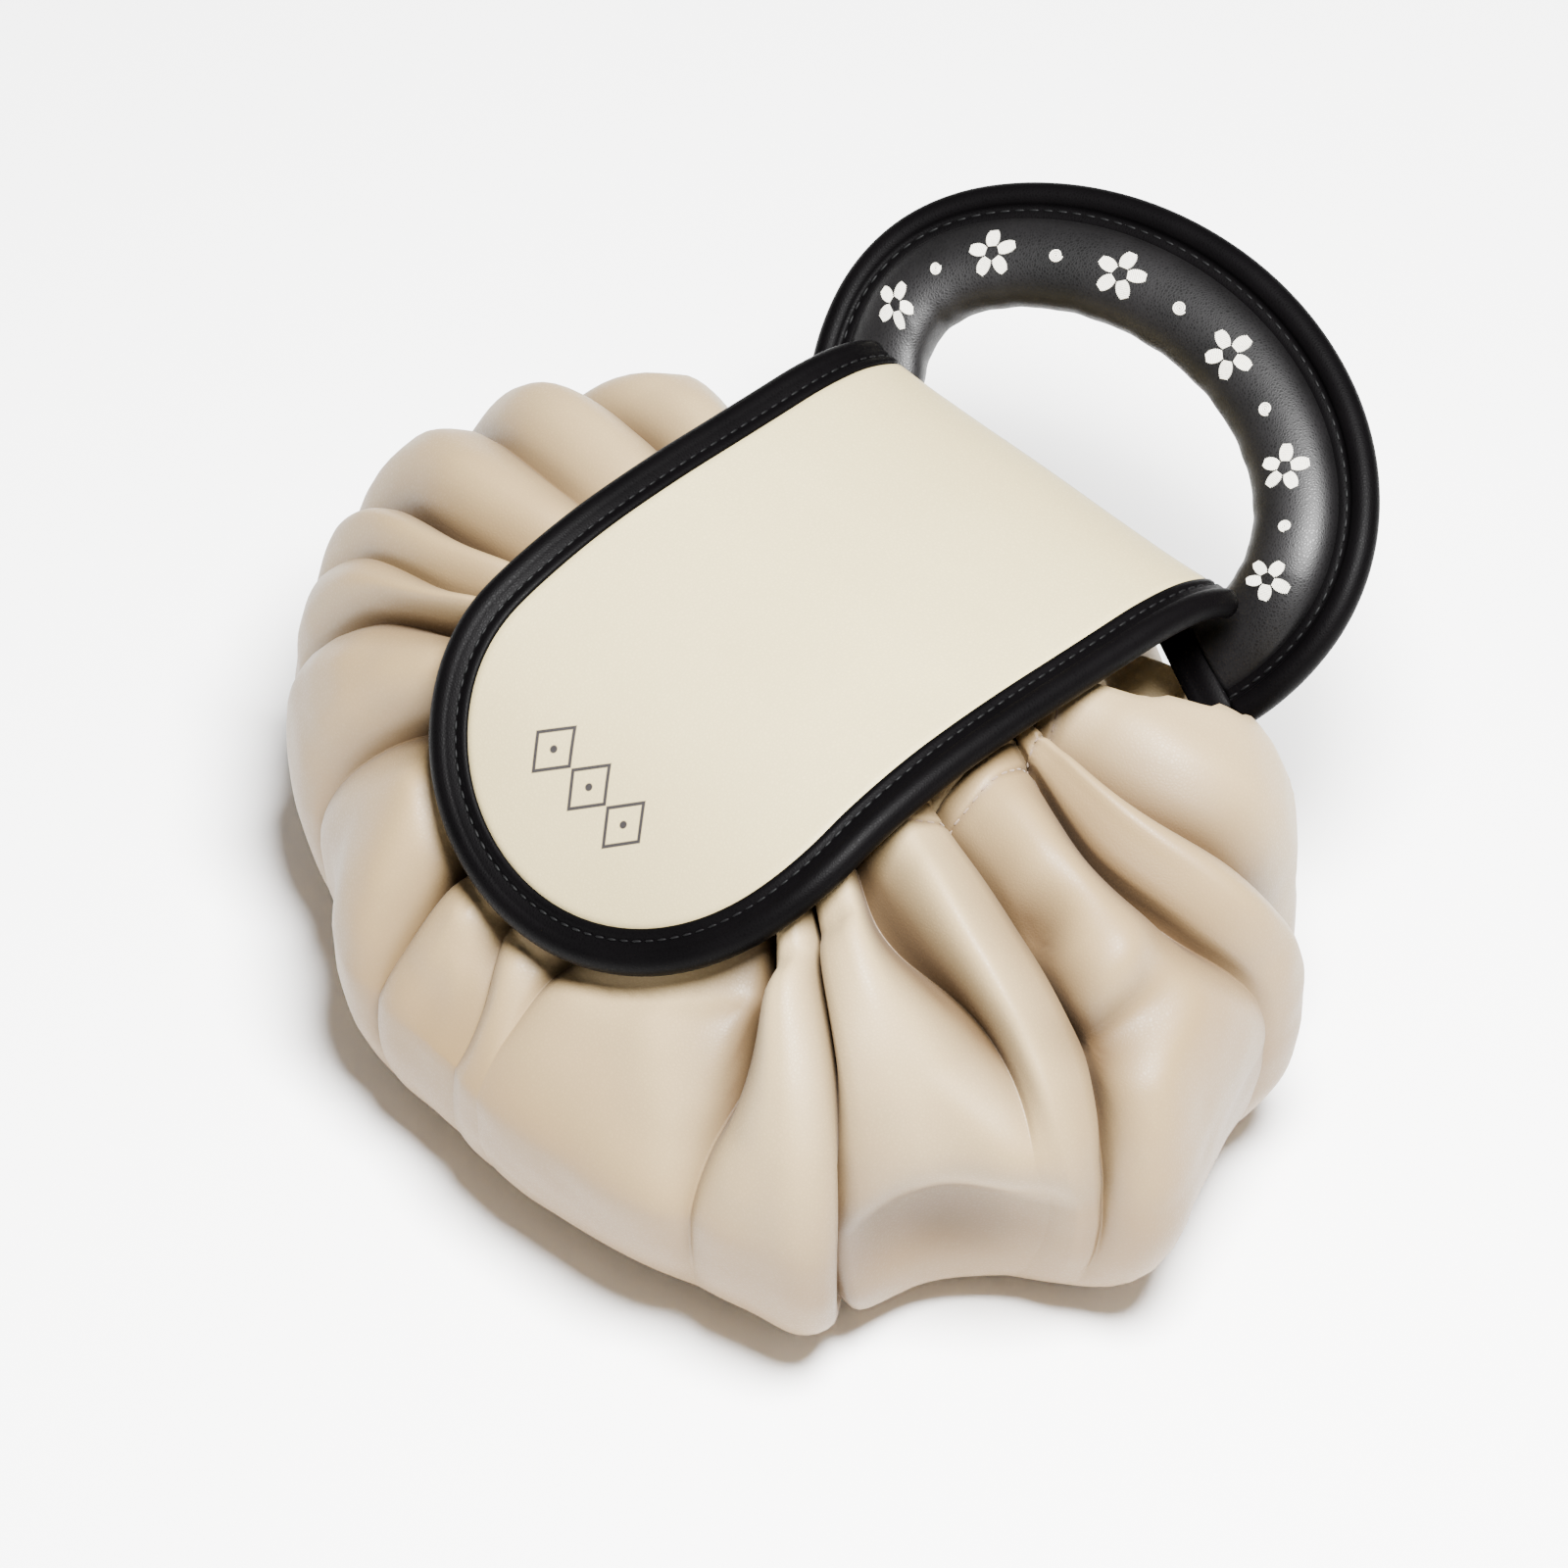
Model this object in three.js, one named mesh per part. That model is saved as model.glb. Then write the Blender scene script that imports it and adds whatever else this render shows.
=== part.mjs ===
import * as THREE from 'three';

// All lengths in mm. Z is up, the flap's tip points to -Y, the handle stands at +Y.
// The origin is the middle of the flat base, on the surface the bag rests on.

// Pouch, one round sheet drawn in at the mouth.
const bagReach = 112;
const bagHeight = 104;
const bellyHeight = 42;
const bellyAt = 0.35;
const baseShare = 0.62;
const lowerRound = 2.4;
const wall = 1.8;
const mouthHalfWidth = 52;
const mouthHalfLength = 54;
const mouthShift = 6;
const fingerBulge = 0.03;
const rimTurn = 1.3;

// Rolled hem with the cord in it.
const pieceGap = 0.3;
const hemGap = 0.5;
const hemWidth = 7.6;
const hemThickness = 4.6;
const hemEdge = 0.7;
const hemInnerEdge = 0.6;
const hemSkips = [0.64, 0.7];
const channelSize = 3;
const cordDiameter = 1.7;
const exitFrom = 14;
const exitTo = 26;

// Flap with its bound edge.
const flapHalfWidth = 50.5;
const flapLength = 165;
const flapBackDrop = 30;
const flapRootHalfWidth = 39.5;
const flapThickness = 2.4;
const flapRootY = 78;
const flapRootAbove = -2.5;
const flapStep = 0.5;
const flapSpare = 12;
const slopeTableLength = 165;
const bindingStart = -2;
const slotGap = 0.45;
const flangeDepth = 3.2;
const flangeThickness = 1.0;
const beadRadius = 3.3;
const flangeRise = 0.2;
const beadInner = 1.2;
const beadOuter = 1.9;
const beadNarrow = 0.82;

// Padded ring handle.
const handleX = -2.5;
const handleY = 69.5;
const handleZ = bagHeight - 21;
const handleTilt = 32;
const handleHalfWidth = 60;
const handleMiddle = 23;
const handleTop = 42;
const handleLower = 47;
const handleSweep = 110;
const handleLeftTuck = 12.5;
const leftTuckFrom = 50;
const padWidth = 20;
const padThickness = 14;
const padEndThickness = 9;
const pipingWidth = 8.6;
const pipingThickness = 6.4;
const padTaper = 30;
const padRings = 34;
const pipingRings = 36;
const tabLength = 8;
const tabThickness = 7;
const tabInward = 5;
const tabCorner = 2;
const tabEdge = 0.6;
const tabEndShare = 0.8;
const tabOverPiping = 0.6;
const sweepStep = 2;
const sweepSpare = 10;

// The ends of the ring bend down into the folds: how far, from this sweep on.
const endDropFrom = 66;
const rightEndDrop = { x: -4.9, y: 4.9, z: -7.2 };
const leftEndDrop = { x: 0, y: 0, z: -4 };

// How far the soft body is pressed down below what lies on it.
const pressMargin = 4;
const pressRamp = 1.3;
const pressRound = 3;
const pastTip = 4;
const bindingLead = 6;
const handleMargin = 3;
const handleRamp = 3;
const pressGap = 0.9;

// Outline of the pouch: azimuth, reach as a share of bagReach, roundness of the shoulder,
// height of the mouth there as a share of bagHeight.
const outline = [
  { at: 0, reach: 1.13, shoulder: 2.4, height: 1 },
  { at: 10, reach: 1.09, shoulder: 2.5, height: 1 },
  { at: 20, reach: 1.08, shoulder: 2.7, height: 1 },
  { at: 30, reach: 1.01, shoulder: 3, height: 1 },
  { at: 41, reach: 0.97, shoulder: 3.2, height: 0.96 },
  { at: 52, reach: 0.89, shoulder: 2.2, height: 0.88 },
  { at: 66, reach: 0.86, shoulder: 1.9, height: 0.85 },
  { at: 82, reach: 0.83, shoulder: 2.6, height: 0.85 },
  { at: 100, reach: 0.85, shoulder: 2.6, height: 0.85 },
  { at: 115, reach: 0.93, shoulder: 2, height: 0.85 },
  { at: 130, reach: 1.03, shoulder: 1.8, height: 0.88 },
  { at: 140, reach: 1.05, shoulder: 2.3, height: 0.92 },
  { at: 150, reach: 1.02, shoulder: 2.9, height: 0.98 },
  { at: 160, reach: 1.07, shoulder: 3, height: 1 },
  { at: 170, reach: 1.13, shoulder: 2.9, height: 1 },
  { at: 180, reach: 1.14, shoulder: 2.8, height: 1 },
  { at: 192, reach: 1.12, shoulder: 2.6, height: 1 },
  { at: 205, reach: 1.04, shoulder: 2.3, height: 1 },
  { at: 220, reach: 0.94, shoulder: 1.9, height: 1 },
  { at: 230, reach: 0.89, shoulder: 1.7, height: 0.99 },
  { at: 240, reach: 0.92, shoulder: 1.5, height: 0.98 },
  { at: 250, reach: 0.91, shoulder: 1.4, height: 0.97 },
  { at: 260, reach: 0.88, shoulder: 1.25, height: 0.955 },
  { at: 275, reach: 0.9, shoulder: 1.15, height: 0.95 },
  { at: 290, reach: 0.93, shoulder: 1.3, height: 0.965 },
  { at: 310, reach: 1.05, shoulder: 1.8, height: 0.99 },
  { at: 320, reach: 1.14, shoulder: 2, height: 1 },
  { at: 330, reach: 1.03, shoulder: 2.15, height: 1 },
  { at: 340, reach: 1.06, shoulder: 2.3, height: 1 },
  { at: 350, reach: 1.19, shoulder: 2.3, height: 1 },
];

// Heights along the wall, as a share of the way from the base (0) to the mouth (1).
const wallStations = { mouth: 1, shoulder: 0.78, side: 0.65, belly: 0.5, foot: 0.2 };

// A valley reaches this far to each side: a start and a share of its depth.
const valleyStart = 5;
const valleyShare = 1.1;
const valleyCurve = 1.6;

// The wall swells between two folds from swellStart on, fully after swellRise more.
const swellStart = 0.05;
const swellRise = 0.3;
const crownCurve = 2.2;

// Folds: azimuth of each valley at the mouth, shoulder, side and belly, and its depth there.
const folds = [
  { at: [13, 6.5, 9, 14], depth: [3, 11, 7, 2] },
  { at: [20, 16.5, 21, 27], depth: [5, 6, 6, 4] },
  { at: [51, 54, 56, 57], depth: [6, 10, 8, 3] },
  { at: [70, 71, 71, 71], depth: [5, 7, 5, 2] },
  { at: [85, 85, 85, 85], depth: [5, 6, 4, 2] },
  { at: [103, 103, 103, 103], depth: [5, 6, 4, 2] },
  { at: [121, 121, 122, 122], depth: [5, 7, 4, 2] },
  { at: [139, 140, 141, 142], depth: [5, 8, 6, 2] },
  { at: [158, 159.5, 161, 159], depth: [5, 8, 4, 1] },
  { at: [183, 177, 173, 172], depth: [4, 6, 6, 4] },
  { at: [203, 195, 188.5, 188], depth: [6, 10, 9, 6] },
  { at: [212, 206, 198, 195], depth: [3, 5, 3, 0] },
  { at: [219, 213, 207, 203.5], depth: [5, 9, 8, 6] },
  { at: [236, 231, 226, 222], depth: [6, 10, 9, 6] },
  { at: [256, 253, 252, 251], depth: [5, 10, 9, 5] },
  { at: [267, 262, 262, 266], depth: [3, 5, 4, 2] },
  { at: [284, 279, 274, 273], depth: [5, 9, 5, 1] },
  { at: [305, 306, 306, 304], depth: [5, 12, 10, 5] },
  { at: [314, 317, 320, 322], depth: [5, 11, 11, 9] },
  { at: [325, 332, 340, 346], depth: [6, 13, 10, 3] },
  { at: [346, 349, 352, 359], depth: [6, 13, 10, 5] },
];

// Soft dents between the folds: azimuth, place along the wall, half width of each, depth.
const dents = [
  { at: 339, along: 0.3, wide: 11, tall: 0.16, depth: 7 },
  { at: 347, along: 0.46, wide: 6, tall: 0.09, depth: -4 },
  { at: 9, along: 0.3, wide: 9, tall: 0.14, depth: 4 },
  { at: 296, along: 0.36, wide: 8, tall: 0.1, depth: -2.5 },
  { at: 262, along: 0.42, wide: 7, tall: 0.12, depth: 3 },
  { at: 236, along: 0.3, wide: 9, tall: 0.14, depth: 3 },
  { at: 190, along: 0.42, wide: 10, tall: 0.14, depth: 3 },
];

// Rows of the wall mesh, from the mouth down to the base.
const wallRows = [1, 0.94, 0.88, 0.82, 0.76, 0.71, 0.66, 0.6, 0.54, 0.47, 0.4, 0.31, 0.21, 0.11, 0];
const wideColumns = [0, 0.14, 0.36, 0.64, 0.86];
const narrowColumns = [0, 0.3, 0.7];
const narrowGap = 11;

// The inner wall is set back no more than this much further than the wall is thick.
const leastFacing = 0.6;

// Slope of the flap from its sewn end to its tip, in degrees, falling toward the tip is plus.
const flapSlopes = [
  { along: -30, slope: -82 },
  { along: -16, slope: -74 },
  { along: -6, slope: -54 },
  { along: 0, slope: -34 },
  { along: 12, slope: -14 },
  { along: 27, slope: -4 },
  { along: 54, slope: -5 },
  { along: 81, slope: 0 },
  { along: 108, slope: 12 },
  { along: 135, slope: 37 },
  { along: 162, slope: 47 },
  { along: 182, slope: 48 },
];

const creamLeather = new THREE.MeshStandardMaterial({ color: 0xe0dac8, roughness: 0.55, metalness: 0 });
creamLeather.name = 'cream_leather';
const blackLeather = new THREE.MeshStandardMaterial({ color: 0x2a2626, roughness: 0.45, metalness: 0 });
blackLeather.name = 'black_leather';
const cordMaterial = new THREE.MeshStandardMaterial({ color: 0x4a4038, roughness: 0.8, metalness: 0 });
cordMaterial.name = 'cord';

const radians = (degrees) => (degrees * Math.PI) / 180;
const mix = (from, to, share) => from + (to - from) * share;

// Rows of the flap past its bend, as shares of its straight part, and round its tip.
const straightRows = [0.01, 0.06, 0.12, 0.2, 0.28, 0.37, 0.46, 0.55, 0.64, 0.73, 0.82, 0.91, 1];
const tipRows = [13, 26, 39, 52, 64, 75, 85];

// Rows of the flap behind its bend, as shares of its back drop, and its points across.
const backRows = [-1, -0.75, -0.52, -0.3, -0.16];
const flapAcross = [-1, -0.8, -0.5, -0.2, 0.2, 0.5, 0.8, 1];

// Smooth closed curve through a column of the outline table.
function outlineAt(azimuth, column) {
  const count = outline.length;
  const turn = ((azimuth % 360) + 360) % 360;
  let cell = count - 1;
  while (outline[cell].at > turn) cell -= 1;
  const knot = (k) => {
    const index = (cell + k + count) % count;
    const wrap = Math.floor((cell + k) / count) * 360;
    return { at: outline[index].at + wrap, value: outline[index][column] };
  };
  const [before, from, to, after] = [-1, 0, 1, 2].map(knot);
  const gap = to.at - from.at;
  const s = (turn - from.at) / gap;
  const rise = to.value - from.value;
  const slopeFrom = ((to.value - before.value) / (to.at - before.at)) * gap;
  const slopeTo = ((after.value - from.value) / (after.at - from.at)) * gap;
  const bend = (slopeFrom - rise) * (1 - s) + (rise - slopeTo) * s;
  return from.value + rise * s + s * (1 - s) * bend;
}

// Smooth wall of the pouch without folds, t runs from the base edge to the mouth.
function wallForm(azimuth, t) {
  const a = radians(azimuth);
  const reach = bagReach * outlineAt(azimuth, 'reach');
  const round = outlineAt(azimuth, 'shoulder');
  if (t < bellyAt) {
    const s = (t / bellyAt) * (Math.PI / 2);
    const r = mix(baseShare * reach, reach, Math.sin(s) ** (2 / lowerRound));
    const z = bellyHeight * (1 - Math.max(Math.cos(s), 0) ** (2 / lowerRound));
    return new THREE.Vector3(r * Math.cos(a), r * Math.sin(a), z);
  }
  const up = (t - bellyAt) / (1 - bellyAt);
  const s = Math.atan2(up ** (round / 2), Math.max(1 - up, 0) ** (round / 2));
  const k = Math.max(Math.cos(s), 0) ** (2 / round);
  const top = bagHeight * outlineAt(azimuth, 'height');
  const z = mix(bellyHeight, top, Math.sin(s) ** (2 / round));
  const x = mix(mouthHalfWidth * Math.cos(a), reach * Math.cos(a), k);
  const y = mix(mouthShift + mouthHalfLength * Math.sin(a), reach * Math.sin(a), k);
  return new THREE.Vector3(x, y, z);
}

function wallNormal(azimuth, t) {
  const step = 0.01;
  const along = wallForm(azimuth, Math.max(t - step, 0.001));
  along.sub(wallForm(azimuth, Math.min(t + step, 0.999)));
  const around = wallForm(azimuth + 1, t).sub(wallForm(azimuth - 1, t));
  return along.cross(around).normalize();
}

// Azimuth and depth of one fold at a station of the wall.
function foldAt(fold, t) {
  const s = wallStations;
  const knots = [s.foot, s.belly, s.side, s.shoulder, s.mouth];
  const at = [fold.at[3], fold.at[3], fold.at[2], fold.at[1], fold.at[0]];
  const depth = [0, fold.depth[3], fold.depth[2], fold.depth[1], fold.depth[0]];
  if (t <= knots[0]) return { at: at[0], depth: 0 };
  let cell = 0;
  while (cell < 3 && t > knots[cell + 1]) cell += 1;
  const share = (t - knots[cell]) / (knots[cell + 1] - knots[cell]);
  return { at: mix(at[cell], at[cell + 1], share), depth: mix(depth[cell], depth[cell + 1], share) };
}

// Columns of the mesh: which pair of folds they lie between and how far across.
function wallColumns() {
  const columns = [];
  folds.forEach((fold, i) => {
    const next = folds[(i + 1) % folds.length];
    const gap = (next.at[0] - fold.at[0] + 360) % 360;
    const shares = gap < narrowGap ? narrowColumns : wideColumns;
    shares.forEach((share) => columns.push({ fold, next, share }));
  });
  return columns;
}

// How far a dent sinks the wall at a place.
function dentAt(azimuth, t) {
  return dents.reduce((sum, dent) => {
    const around = (((azimuth - dent.at + 540) % 360) - 180) / dent.wide;
    const along = (t - dent.along) / dent.tall;
    return sum + dent.depth * Math.exp(-around * around - along * along);
  }, 0);
}

// A point of the folded wall in one column.
function foldedPoint(column, t) {
  const a = foldAt(column.fold, t);
  const b = foldAt(column.next, t);
  const gap = (b.at - a.at + 720) % 360;
  const azimuth = a.at + gap * column.share;
  const free = wallForm(azimuth, t);
  const width = radians(gap) * Math.hypot(free.x, free.y);
  const place = t === 0 ? free : pressed(free);
  const valley = (fold, distance) => {
    const reach = Math.min(valleyStart + valleyShare * fold.depth, width * 0.5);
    return fold.depth * Math.max(0, 1 - distance / reach) ** valleyCurve;
  };
  const sink = valley(a, column.share * width) + valley(b, (1 - column.share) * width);
  const strength = Math.min(1, Math.max(0, (t - swellStart) / swellRise));
  const crown = 1 - Math.abs(2 * column.share - 1) ** crownCurve;
  const swell = crown * fingerBulge * width * strength;
  return place.addScaledVector(wallNormal(azimuth, t), swell - sink - dentAt(azimuth, t));
}

// Middle line of the flap, sampled once from the slope table.
const flapLine = makeFlapLine();

function slopeAt(along) {
  let cell = 0;
  while (cell < flapSlopes.length - 2 && along > flapSlopes[cell + 1].along) cell += 1;
  const from = flapSlopes[cell];
  const to = flapSlopes[cell + 1];
  const share = Math.min(1, Math.max(0, (along - from.along) / (to.along - from.along)));
  return radians(mix(from.slope, to.slope, share));
}

function makeFlapLine() {
  const points = [];
  let y = 0;
  let z = 0;
  for (let along = -flapBackDrop; along <= flapLength + flapSpare; along += flapStep) {
    const slope = slopeAt((along / flapLength) * slopeTableLength);
    points.push({ along, y, z, slope });
    y -= Math.cos(slope) * flapStep;
    z -= Math.sin(slope) * flapStep;
  }
  const root = points.find((p) => p.along >= 0);
  const dy = flapRootY - root.y;
  const dz = bagHeight + flapRootAbove - root.z;
  return points.map((p) => ({ ...p, y: p.y + dy, z: p.z + dz }));
}

// Flat flap place (across, along, height over its middle layer) to space.
function flapPoint(across, along, height) {
  const place = (along + flapBackDrop) / flapStep;
  const cell = Math.min(Math.max(Math.floor(place), 0), flapLine.length - 2);
  const share = Math.min(Math.max(place - cell, 0), 1);
  const p = flapLine[cell];
  const q = flapLine[cell + 1];
  const slope = mix(p.slope, q.slope, share);
  const y = mix(p.y, q.y, share) - Math.sin(slope) * height;
  const z = mix(p.z, q.z, share) + Math.cos(slope) * height;
  return new THREE.Vector3(across, y, z);
}

// Middle line of the handle pad in the handle's plane, with its outward direction.
function handleLine(sweep) {
  const a = radians(sweep);
  const rise = Math.cos(a) > 0 ? handleTop : handleLower;
  const tuckShare = Math.max(0, -sweep - leftTuckFrom) / (handleSweep - leftTuckFrom);
  const tuck = handleLeftTuck * tuckShare ** 2;
  const x = handleX + tuck + handleHalfWidth * Math.sin(a);
  const point = new THREE.Vector2(x, handleMiddle + rise * Math.cos(a));
  const outward = new THREE.Vector2(rise * Math.sin(a), handleHalfWidth * Math.cos(a)).normalize();
  const drop = sweep > 0 ? rightEndDrop : leftEndDrop;
  const share = Math.max(0, (Math.abs(sweep) - endDropFrom) / (handleSweep - endDropFrom)) ** 2;
  const bend = new THREE.Vector3(drop.x, drop.y, drop.z).multiplyScalar(share);
  return { point, outward, bend };
}

function handlePoint(flat, height, bend) {
  const tilt = radians(handleTilt);
  const y = handleY + flat.y * Math.cos(tilt) - height * Math.sin(tilt);
  const z = handleZ + flat.y * Math.sin(tilt) + height * Math.cos(tilt);
  return new THREE.Vector3(flat.x, y, z).add(bend);
}

const handleSamples = [];
for (let sweep = -handleSweep - sweepSpare; sweep <= handleSweep + sweepSpare; sweep += sweepStep) {
  const { point, outward, bend } = handleLine(sweep);
  const place = handlePoint(point, 0, bend);
  handleSamples.push({ place, outward: handlePoint(point.clone().add(outward), 0, bend).sub(place) });
}

// Press a wall point down where the flap or the handle lies over it.
function pressed(point) {
  const out = point.clone();
  const side = Math.abs(out.x) - (flapHalfWidth + 2 * beadRadius + pressMargin);
  let near = flapLine[0];
  let best = Infinity;
  flapLine.forEach((p) => {
    const d = (p.y - out.y) ** 2 + (p.z - out.z) ** 2;
    if (d < best) {
      best = d;
      near = p;
    }
  });
  const past = near === flapLine[flapLine.length - 1] ? pastTip : 0;
  const height = (out.y - near.y) * -Math.sin(near.slope) + (out.z - near.z) * Math.cos(near.slope);
  const ramp = Math.max(0, side, past) * pressRamp;
  const half = near.along < bindingStart - bindingLead ? flapThickness / 2 : beadRadius;
  const limit = -(half + pressGap) + ramp;
  if (near.along > flapStep - flapBackDrop) {
    const over = 0.5 * (height - limit + Math.hypot(height - limit, pressRound));
    out.y += Math.sin(near.slope) * over;
    out.z -= Math.cos(near.slope) * over;
  }
  return pressedByHandle(out);
}

function pressedByHandle(point) {
  let best = Infinity;
  let near = handleSamples[0];
  handleSamples.forEach((s) => {
    const d = Math.hypot(point.x - s.place.x, point.y - s.place.y);
    if (d < best) {
      best = d;
      near = s;
    }
  });
  const { place, outward } = near;
  const offset = (point.x - place.x) * outward.x + (point.y - place.y) * outward.y;
  const reach = padWidth / 2 + (offset > 0 ? pieceGap + pipingWidth : 0);
  const ramp = Math.max(0, best - reach - handleMargin) * handleRamp;
  const lift = Math.min(reach, Math.max(-reach, offset)) * outward.z;
  const under = padThickness / 2 / Math.cos(radians(handleTilt));
  const out = point.clone();
  out.z = Math.min(out.z, place.z + lift - under - pressGap + ramp);
  return out;
}

function meshOf(name, points, triangles, material) {
  const geometry = new THREE.BufferGeometry();
  const flat = [];
  points.forEach((p) => flat.push(p.x, p.y, p.z));
  geometry.setAttribute('position', new THREE.Float32BufferAttribute(flat, 3));
  geometry.setIndex(triangles);
  geometry.computeVertexNormals();
  const mesh = new THREE.Mesh(geometry, material);
  mesh.name = name;
  return mesh;
}

// Closed tube from rings of equal length, the ends capped or joined.
function tubeOf(name, rings, closed, material) {
  const points = rings.flat();
  const count = rings[0].length;
  const triangles = [];
  const last = closed ? rings.length : rings.length - 1;
  for (let i = 0; i < last; i += 1) {
    const next = (i + 1) % rings.length;
    for (let j = 0; j < count; j += 1) {
      const k = (j + 1) % count;
      const a = i * count + j;
      const b = i * count + k;
      const c = next * count + j;
      const d = next * count + k;
      triangles.push(a, c, b, b, c, d);
    }
  }
  if (!closed) {
    const middleOf = (ring) => {
      const middle = new THREE.Vector3();
      ring.forEach((p) => middle.add(p));
      return middle.divideScalar(ring.length);
    };
    const first = points.length;
    points.push(middleOf(rings[0]));
    points.push(middleOf(rings[rings.length - 1]));
    const base = (rings.length - 1) * count;
    for (let j = 0; j < count; j += 1) {
      const k = (j + 1) % count;
      triangles.push(first, j, k);
      triangles.push(first + 1, base + k, base + j);
    }
  }
  return meshOf(name, points, triangles, material);
}

// Outer wall grid, the inner wall offset from it by the wall thickness.
function pouchGrids() {
  const columns = wallColumns();
  const outer = wallRows.map((t) =>
    columns.map((column) => {
      const p = t === 0 ? foldedPoint(column, 0) : pressed(foldedPoint(column, t));
      if (t === 0) p.z = 0;
      return p;
    }),
  );
  const count = columns.length;
  const inner = outer.map((row, i) =>
    row.map((p, j) => {
      const sum = new THREE.Vector3();
      const faces = [];
      [
        [-1, -1],
        [-1, 1],
        [1, -1],
        [1, 1],
      ].forEach(([di, dj]) => {
        const up = outer[i + di];
        if (!up) return;
        const along = up[j].clone().sub(p).multiplyScalar(di);
        const around = row[(j + dj + count) % count].clone().sub(p).multiplyScalar(dj);
        const face = along.cross(around).normalize();
        faces.push(face);
        sum.add(face);
      });
      if (i === outer.length - 1) {
        const floor = new THREE.Vector3(0, 0, -1);
        faces.push(floor, floor);
        sum.add(floor).add(floor);
      }
      sum.normalize();
      let facing = 0;
      faces.forEach((face) => {
        facing += face.dot(sum) / faces.length;
      });
      const q = p.clone().addScaledVector(sum, -wall / Math.max(leastFacing, facing));
      if (i === 0) q.set(p.x, p.y, p.z - wall * rimTurn);
      if (i === outer.length - 1) q.z = wall;
      return q;
    }),
  );
  return { outer, inner, columns };
}

function buildPouch(grids) {
  const { outer, inner } = grids;
  const count = outer[0].length;
  const rows = outer.length;
  const points = [...outer.flat(), ...inner.flat()];
  const shift = rows * count;
  const triangles = [];
  for (let i = 0; i < rows - 1; i += 1) {
    for (let j = 0; j < count; j += 1) {
      const k = (j + 1) % count;
      const a = i * count + j;
      const b = i * count + k;
      const c = a + count;
      const d = b + count;
      triangles.push(a, c, d, a, d, b);
      triangles.push(a + shift, d + shift, c + shift, a + shift, b + shift, d + shift);
    }
  }
  const under = points.length;
  points.push(new THREE.Vector3(0, 0, 0), new THREE.Vector3(0, 0, wall));
  const base = (rows - 1) * count;
  for (let j = 0; j < count; j += 1) {
    const k = (j + 1) % count;
    triangles.push(j, k, k + shift, j, k + shift, j + shift);
    triangles.push(base + j, under, base + k);
    triangles.push(base + j + shift, base + k + shift, under + 1);
  }
  return meshOf('pouch_body', points, triangles, creamLeather);
}

// The hem follows the gathered rim, lying inside it; the same line carries the cord.
function hemLine(grids) {
  const rim = grids.outer[0];
  const centre = new THREE.Vector3(0, mouthShift, 0);
  const picked = [];
  grids.columns.forEach((column, j) => {
    if (!hemSkips.includes(column.share)) picked.push(j);
  });
  return picked.map((j) => {
    const p = rim[j].clone();
    const inward = new THREE.Vector3(centre.x - p.x, centre.y - p.y, 0).normalize();
    const azimuth = (THREE.MathUtils.radToDeg(Math.atan2(p.y - mouthShift, p.x)) + 360) % 360;
    p.addScaledVector(inward, hemGap + hemWidth / 2);
    p.z -= wall / 2;
    return { p, azimuth };
  });
}

function hemFrames(grids) {
  const line = hemLine(grids);
  return line.map((station, i) => {
    const before = line[(i - 1 + line.length) % line.length];
    const after = line[(i + 1) % line.length];
    const centre = new THREE.Vector3(0, mouthShift, station.p.z);
    const outward = station.p.clone().sub(centre).normalize();
    const forward = after.p.clone().sub(before.p).normalize();
    const up = new THREE.Vector3().crossVectors(outward, forward).normalize();
    return { p: station.p, azimuth: station.azimuth, outward, up };
  });
}

function ringAt(frame, section) {
  return section.map(([o, u]) => frame.p.clone().addScaledVector(frame.outward, o).addScaledVector(frame.up, u));
}

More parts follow.
